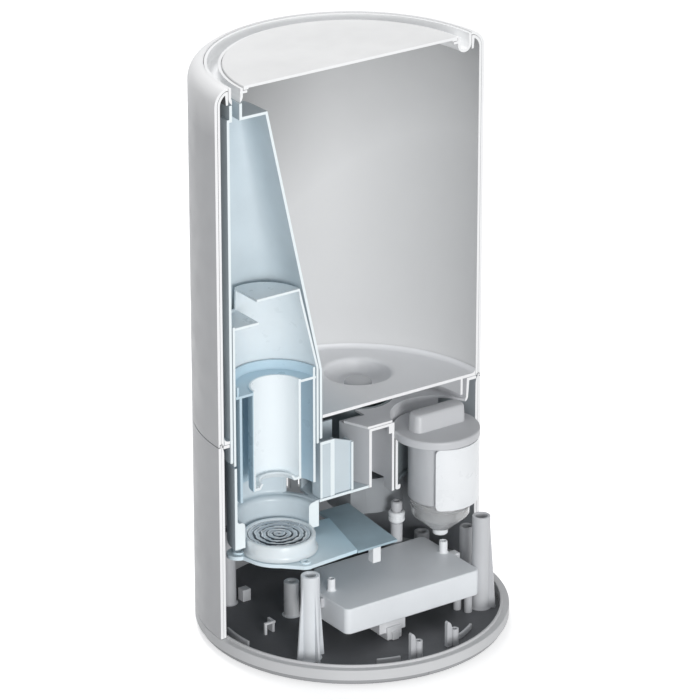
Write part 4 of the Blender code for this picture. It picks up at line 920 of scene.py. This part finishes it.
# ---- filter cartridge ---------------------------------------------------------------------
def make_cartridge():
    """Body, cover panel, translucent cone with its rings, nozzle and the cap that turns."""
    top, outer, foot = CAP_Z[0] - GAP, CARTRIDGE_RADIUS, CARTRIDGE_FOOT
    body = [(outer, top), (outer, foot + 1.0), (outer - 1.0, foot), (outer - 6, foot),
            (outer - 6, foot + 1.6), (outer - 1.6, foot + 1.6), (outer - 1.6, top)]
    piece("cartridge_barrel", turned(body, CARTRIDGE), PALE, "cartridge",
          ["cartridge_body"], 0.2)
    make_cover((-134, -15), outer + GAP, outer + 3.2, foot - 1.0, top - 1.0)
    cone = [(19.6, foot - GAP), (19.6, foot - 1.0), (20.2, foot - 1.3), (20.2, foot - 2.1),
            (19.0, foot - 2.8), (18.9, foot - 4.6), (19.5, foot - 5.0), (19.5, foot - 5.8),
            (18.8, foot - 6.3), (18.6, 62.0), (17.6, 60.4), (6.8, 50.6), (5.3, 50.6), (5.3, 51.6),
            (16.6, 62.2), (17.6, 64.0), (18.0, foot - GAP)]
    piece("cartridge_hopper", turned(cone, CARTRIDGE), SMOKE, "cartridge", ["cartridge_cone"], 0.15)
    nozzle = [(2.6, 56.1), (4.9, 56.1), (4.9, 51.2), (4.4, 50.8), (4.4, 50.0), (4.9, 49.6), (4.9, 46.8),
              (4.4, 46.2), (3.0, 46.2), (2.6, 46.6)]
    piece("cartridge_spout", turned(nozzle, CARTRIDGE, SMALL_ROUND), WHITE, "cartridge",
          ["cartridge_nozzle"], 0.15)
    low, high = CAP_Z
    edge = arc((CAP_RADIUS - 1.2, high - 1.2), 1.2, 0, 90, 6)
    disc = turned([(0, low), (CAP_RADIUS - 0.5, low), (CAP_RADIUS, low + 0.5), *edge, (0, high)], CAP)
    x, y = CAP
    levels = ((0.0, -0.6), (0.3, 0.5), (0.8, 10.0), (1.5, 11.4), (2.4, 11.7))
    plans = [(rounded_outline((x - 18.8 + inset, y - 5.5 + inset), (x + 20.8 - inset, y + 7.9 - inset),
                              4.8 - inset), high + rise) for inset, rise in levels]
    grip = skin([[(px, py, z) for px, py in plan] for plan, z in plans])
    piece("cartridge_cap_disc", disc, CAP_GREY, "cap", ["cartridge_cap"], 0.2)
    piece("cap_grip", grip, CAP_GREY, "cap", (), 0.3, angle=50)


def make_cover(angles, near, far, low, high):
    """Curved label-free panel on the cartridge, with round corners."""
    steps, corner = 48, 3.2
    start, end = (math.radians(a) for a in angles)
    rings = []
    for i in range(steps + 1):
        angle = start + (end - start) * i / steps
        along = min(angle - start, end - angle) * far
        dip = corner - math.sqrt(max(0.0, corner ** 2 - (corner - along) ** 2)) if along < corner else 0.0
        c, s = math.cos(angle), math.sin(angle)
        foot, top = low + dip, high - dip
        rings.append([(CARTRIDGE[0] + r * c, CARTRIDGE[1] + r * s, z)
                      for r, z in ((far, foot), (far, top), (near, top), (near, foot))])
    piece("cartridge_panel", skin(rings), WHITE, "cartridge", ["cartridge_cover"], 0.3)


# ---- CAD solids that keep their shape -----------------------------------------------------
def repaint():
    """Better materials and fine edges on the inner CAD solids that stay in view."""
    looks = {"filter_media": BEADS, "fan_rotor": RUBBER, "fan_motor": STEEL, "power_board": BOARD,
             "power_transformer": RUBBER, "power_capacitor_1": RUBBER, "power_capacitor_2": RUBBER,
             "valve_plunger": PALE, "valve_spring": STEEL}
    for name, look in looks.items():
        node = frame["nodes"][name]
        node.data.materials.clear()
        node.data.materials.append(look)
        if name not in ("valve_spring", "fan_rotor"):
            round_edges(node, 0.25)


# ---- stage --------------------------------------------------------------------------------
def make_stage():
    """Pale floor that doesn't tint the object."""
    bm = bmesh.new()
    bmesh.ops.create_grid(bm, x_segments=1, y_segments=1, size=6.0)
    mesh = bpy.data.meshes.new("floor")
    bm.to_mesh(mesh)
    bm.free()
    floor = bpy.data.objects.new("floor", mesh)
    floor.location.z = -0.0005
    look = Look("studio_floor")
    look.link(look.ramp(look.noise(3.0), (0.3, (0.93, 0.93, 0.93)), (0.7, (0.95, 0.95, 0.95))),
              look.shader.inputs["Base Color"])
    look.set(Roughness=0.9, Emission_Strength=0.5)
    look.shader.inputs["Emission Color"].default_value = (1.0, 1.0, 1.0, 1.0)
    mesh.materials.append(look.material)
    bpy.context.scene.collection.objects.link(floor)
    floor.visible_diffuse = False


def direction(azimuth, elevation):
    """Unit vector out from the object; azimuth 0 is in front and 90 is to the right."""
    a, e = math.radians(azimuth), math.radians(elevation)
    return Vector((math.sin(a) * math.cos(e), -math.cos(a) * math.cos(e), math.sin(e)))


def area_light(name, azimuth, elevation, distance, size, power, colour=(1.0, 1.0, 1.0)):
    """Soft light aimed at the object's middle."""
    aim, back = Vector((0, 0, HEIGHT / 2 * MM)), direction(azimuth, elevation)
    lamp = bpy.data.lights.new(name, "AREA")
    lamp.shape = "DISK"
    lamp.size = size
    lamp.energy = power
    lamp.color = colour
    made = bpy.data.objects.new(name, lamp)
    made.location = aim + back * distance
    made.rotation_euler = back.to_track_quat("Z", "Y").to_euler()
    bpy.context.scene.collection.objects.link(made)


def light_scene():
    """Even pale surroundings, a soft key and a soft light on the lid."""
    world = bpy.data.worlds.new("studio")
    bpy.context.scene.world = world
    world.use_nodes = True
    background = world.node_tree.nodes["Background"]
    background.inputs["Color"].default_value = (0.97, 0.985, 1.0, 1.0)
    background.inputs["Strength"].default_value = 0.40
    area_light("key", -17, 5, 1.9, 0.8, 22.0)
    area_light("lid_light", 170, 62, 1.8, 1.0, 19.0)
    bpy.context.scene.view_settings.view_transform = "Standard"


def make_camera():
    """Long lens at the front left, looking down on the section."""
    back, distance = direction(-35.0, 22.87), 2.8
    lens = bpy.data.cameras.new("camera")
    lens.sensor_width = 36.0
    lens.lens = 231.55
    lens.shift_x = -0.00306
    lens.clip_end = 20.0
    camera = bpy.data.objects.new("camera", lens)
    camera.location = Vector((0, 0, 0.18448)) + back * distance
    camera.rotation_euler = back.to_track_quat("Z", "Y").to_euler()
    bpy.context.scene.collection.objects.link(camera)
    bpy.context.scene.camera = camera


make_tank_walls()
make_top_ring()
make_lid()
make_duct()
make_tank_floor()
make_valve()
make_guide()
make_mist_tube()
make_housing()
make_deck()
make_basin()
make_air_path()
make_well()
make_valve_cup()
make_plate()
make_board()
make_transducer()
make_power_box()
make_sensor()
make_tray()
make_feet()
make_inlet()
make_fan()
make_cartridge()
repaint()
make_stage()
light_scene()
make_camera()
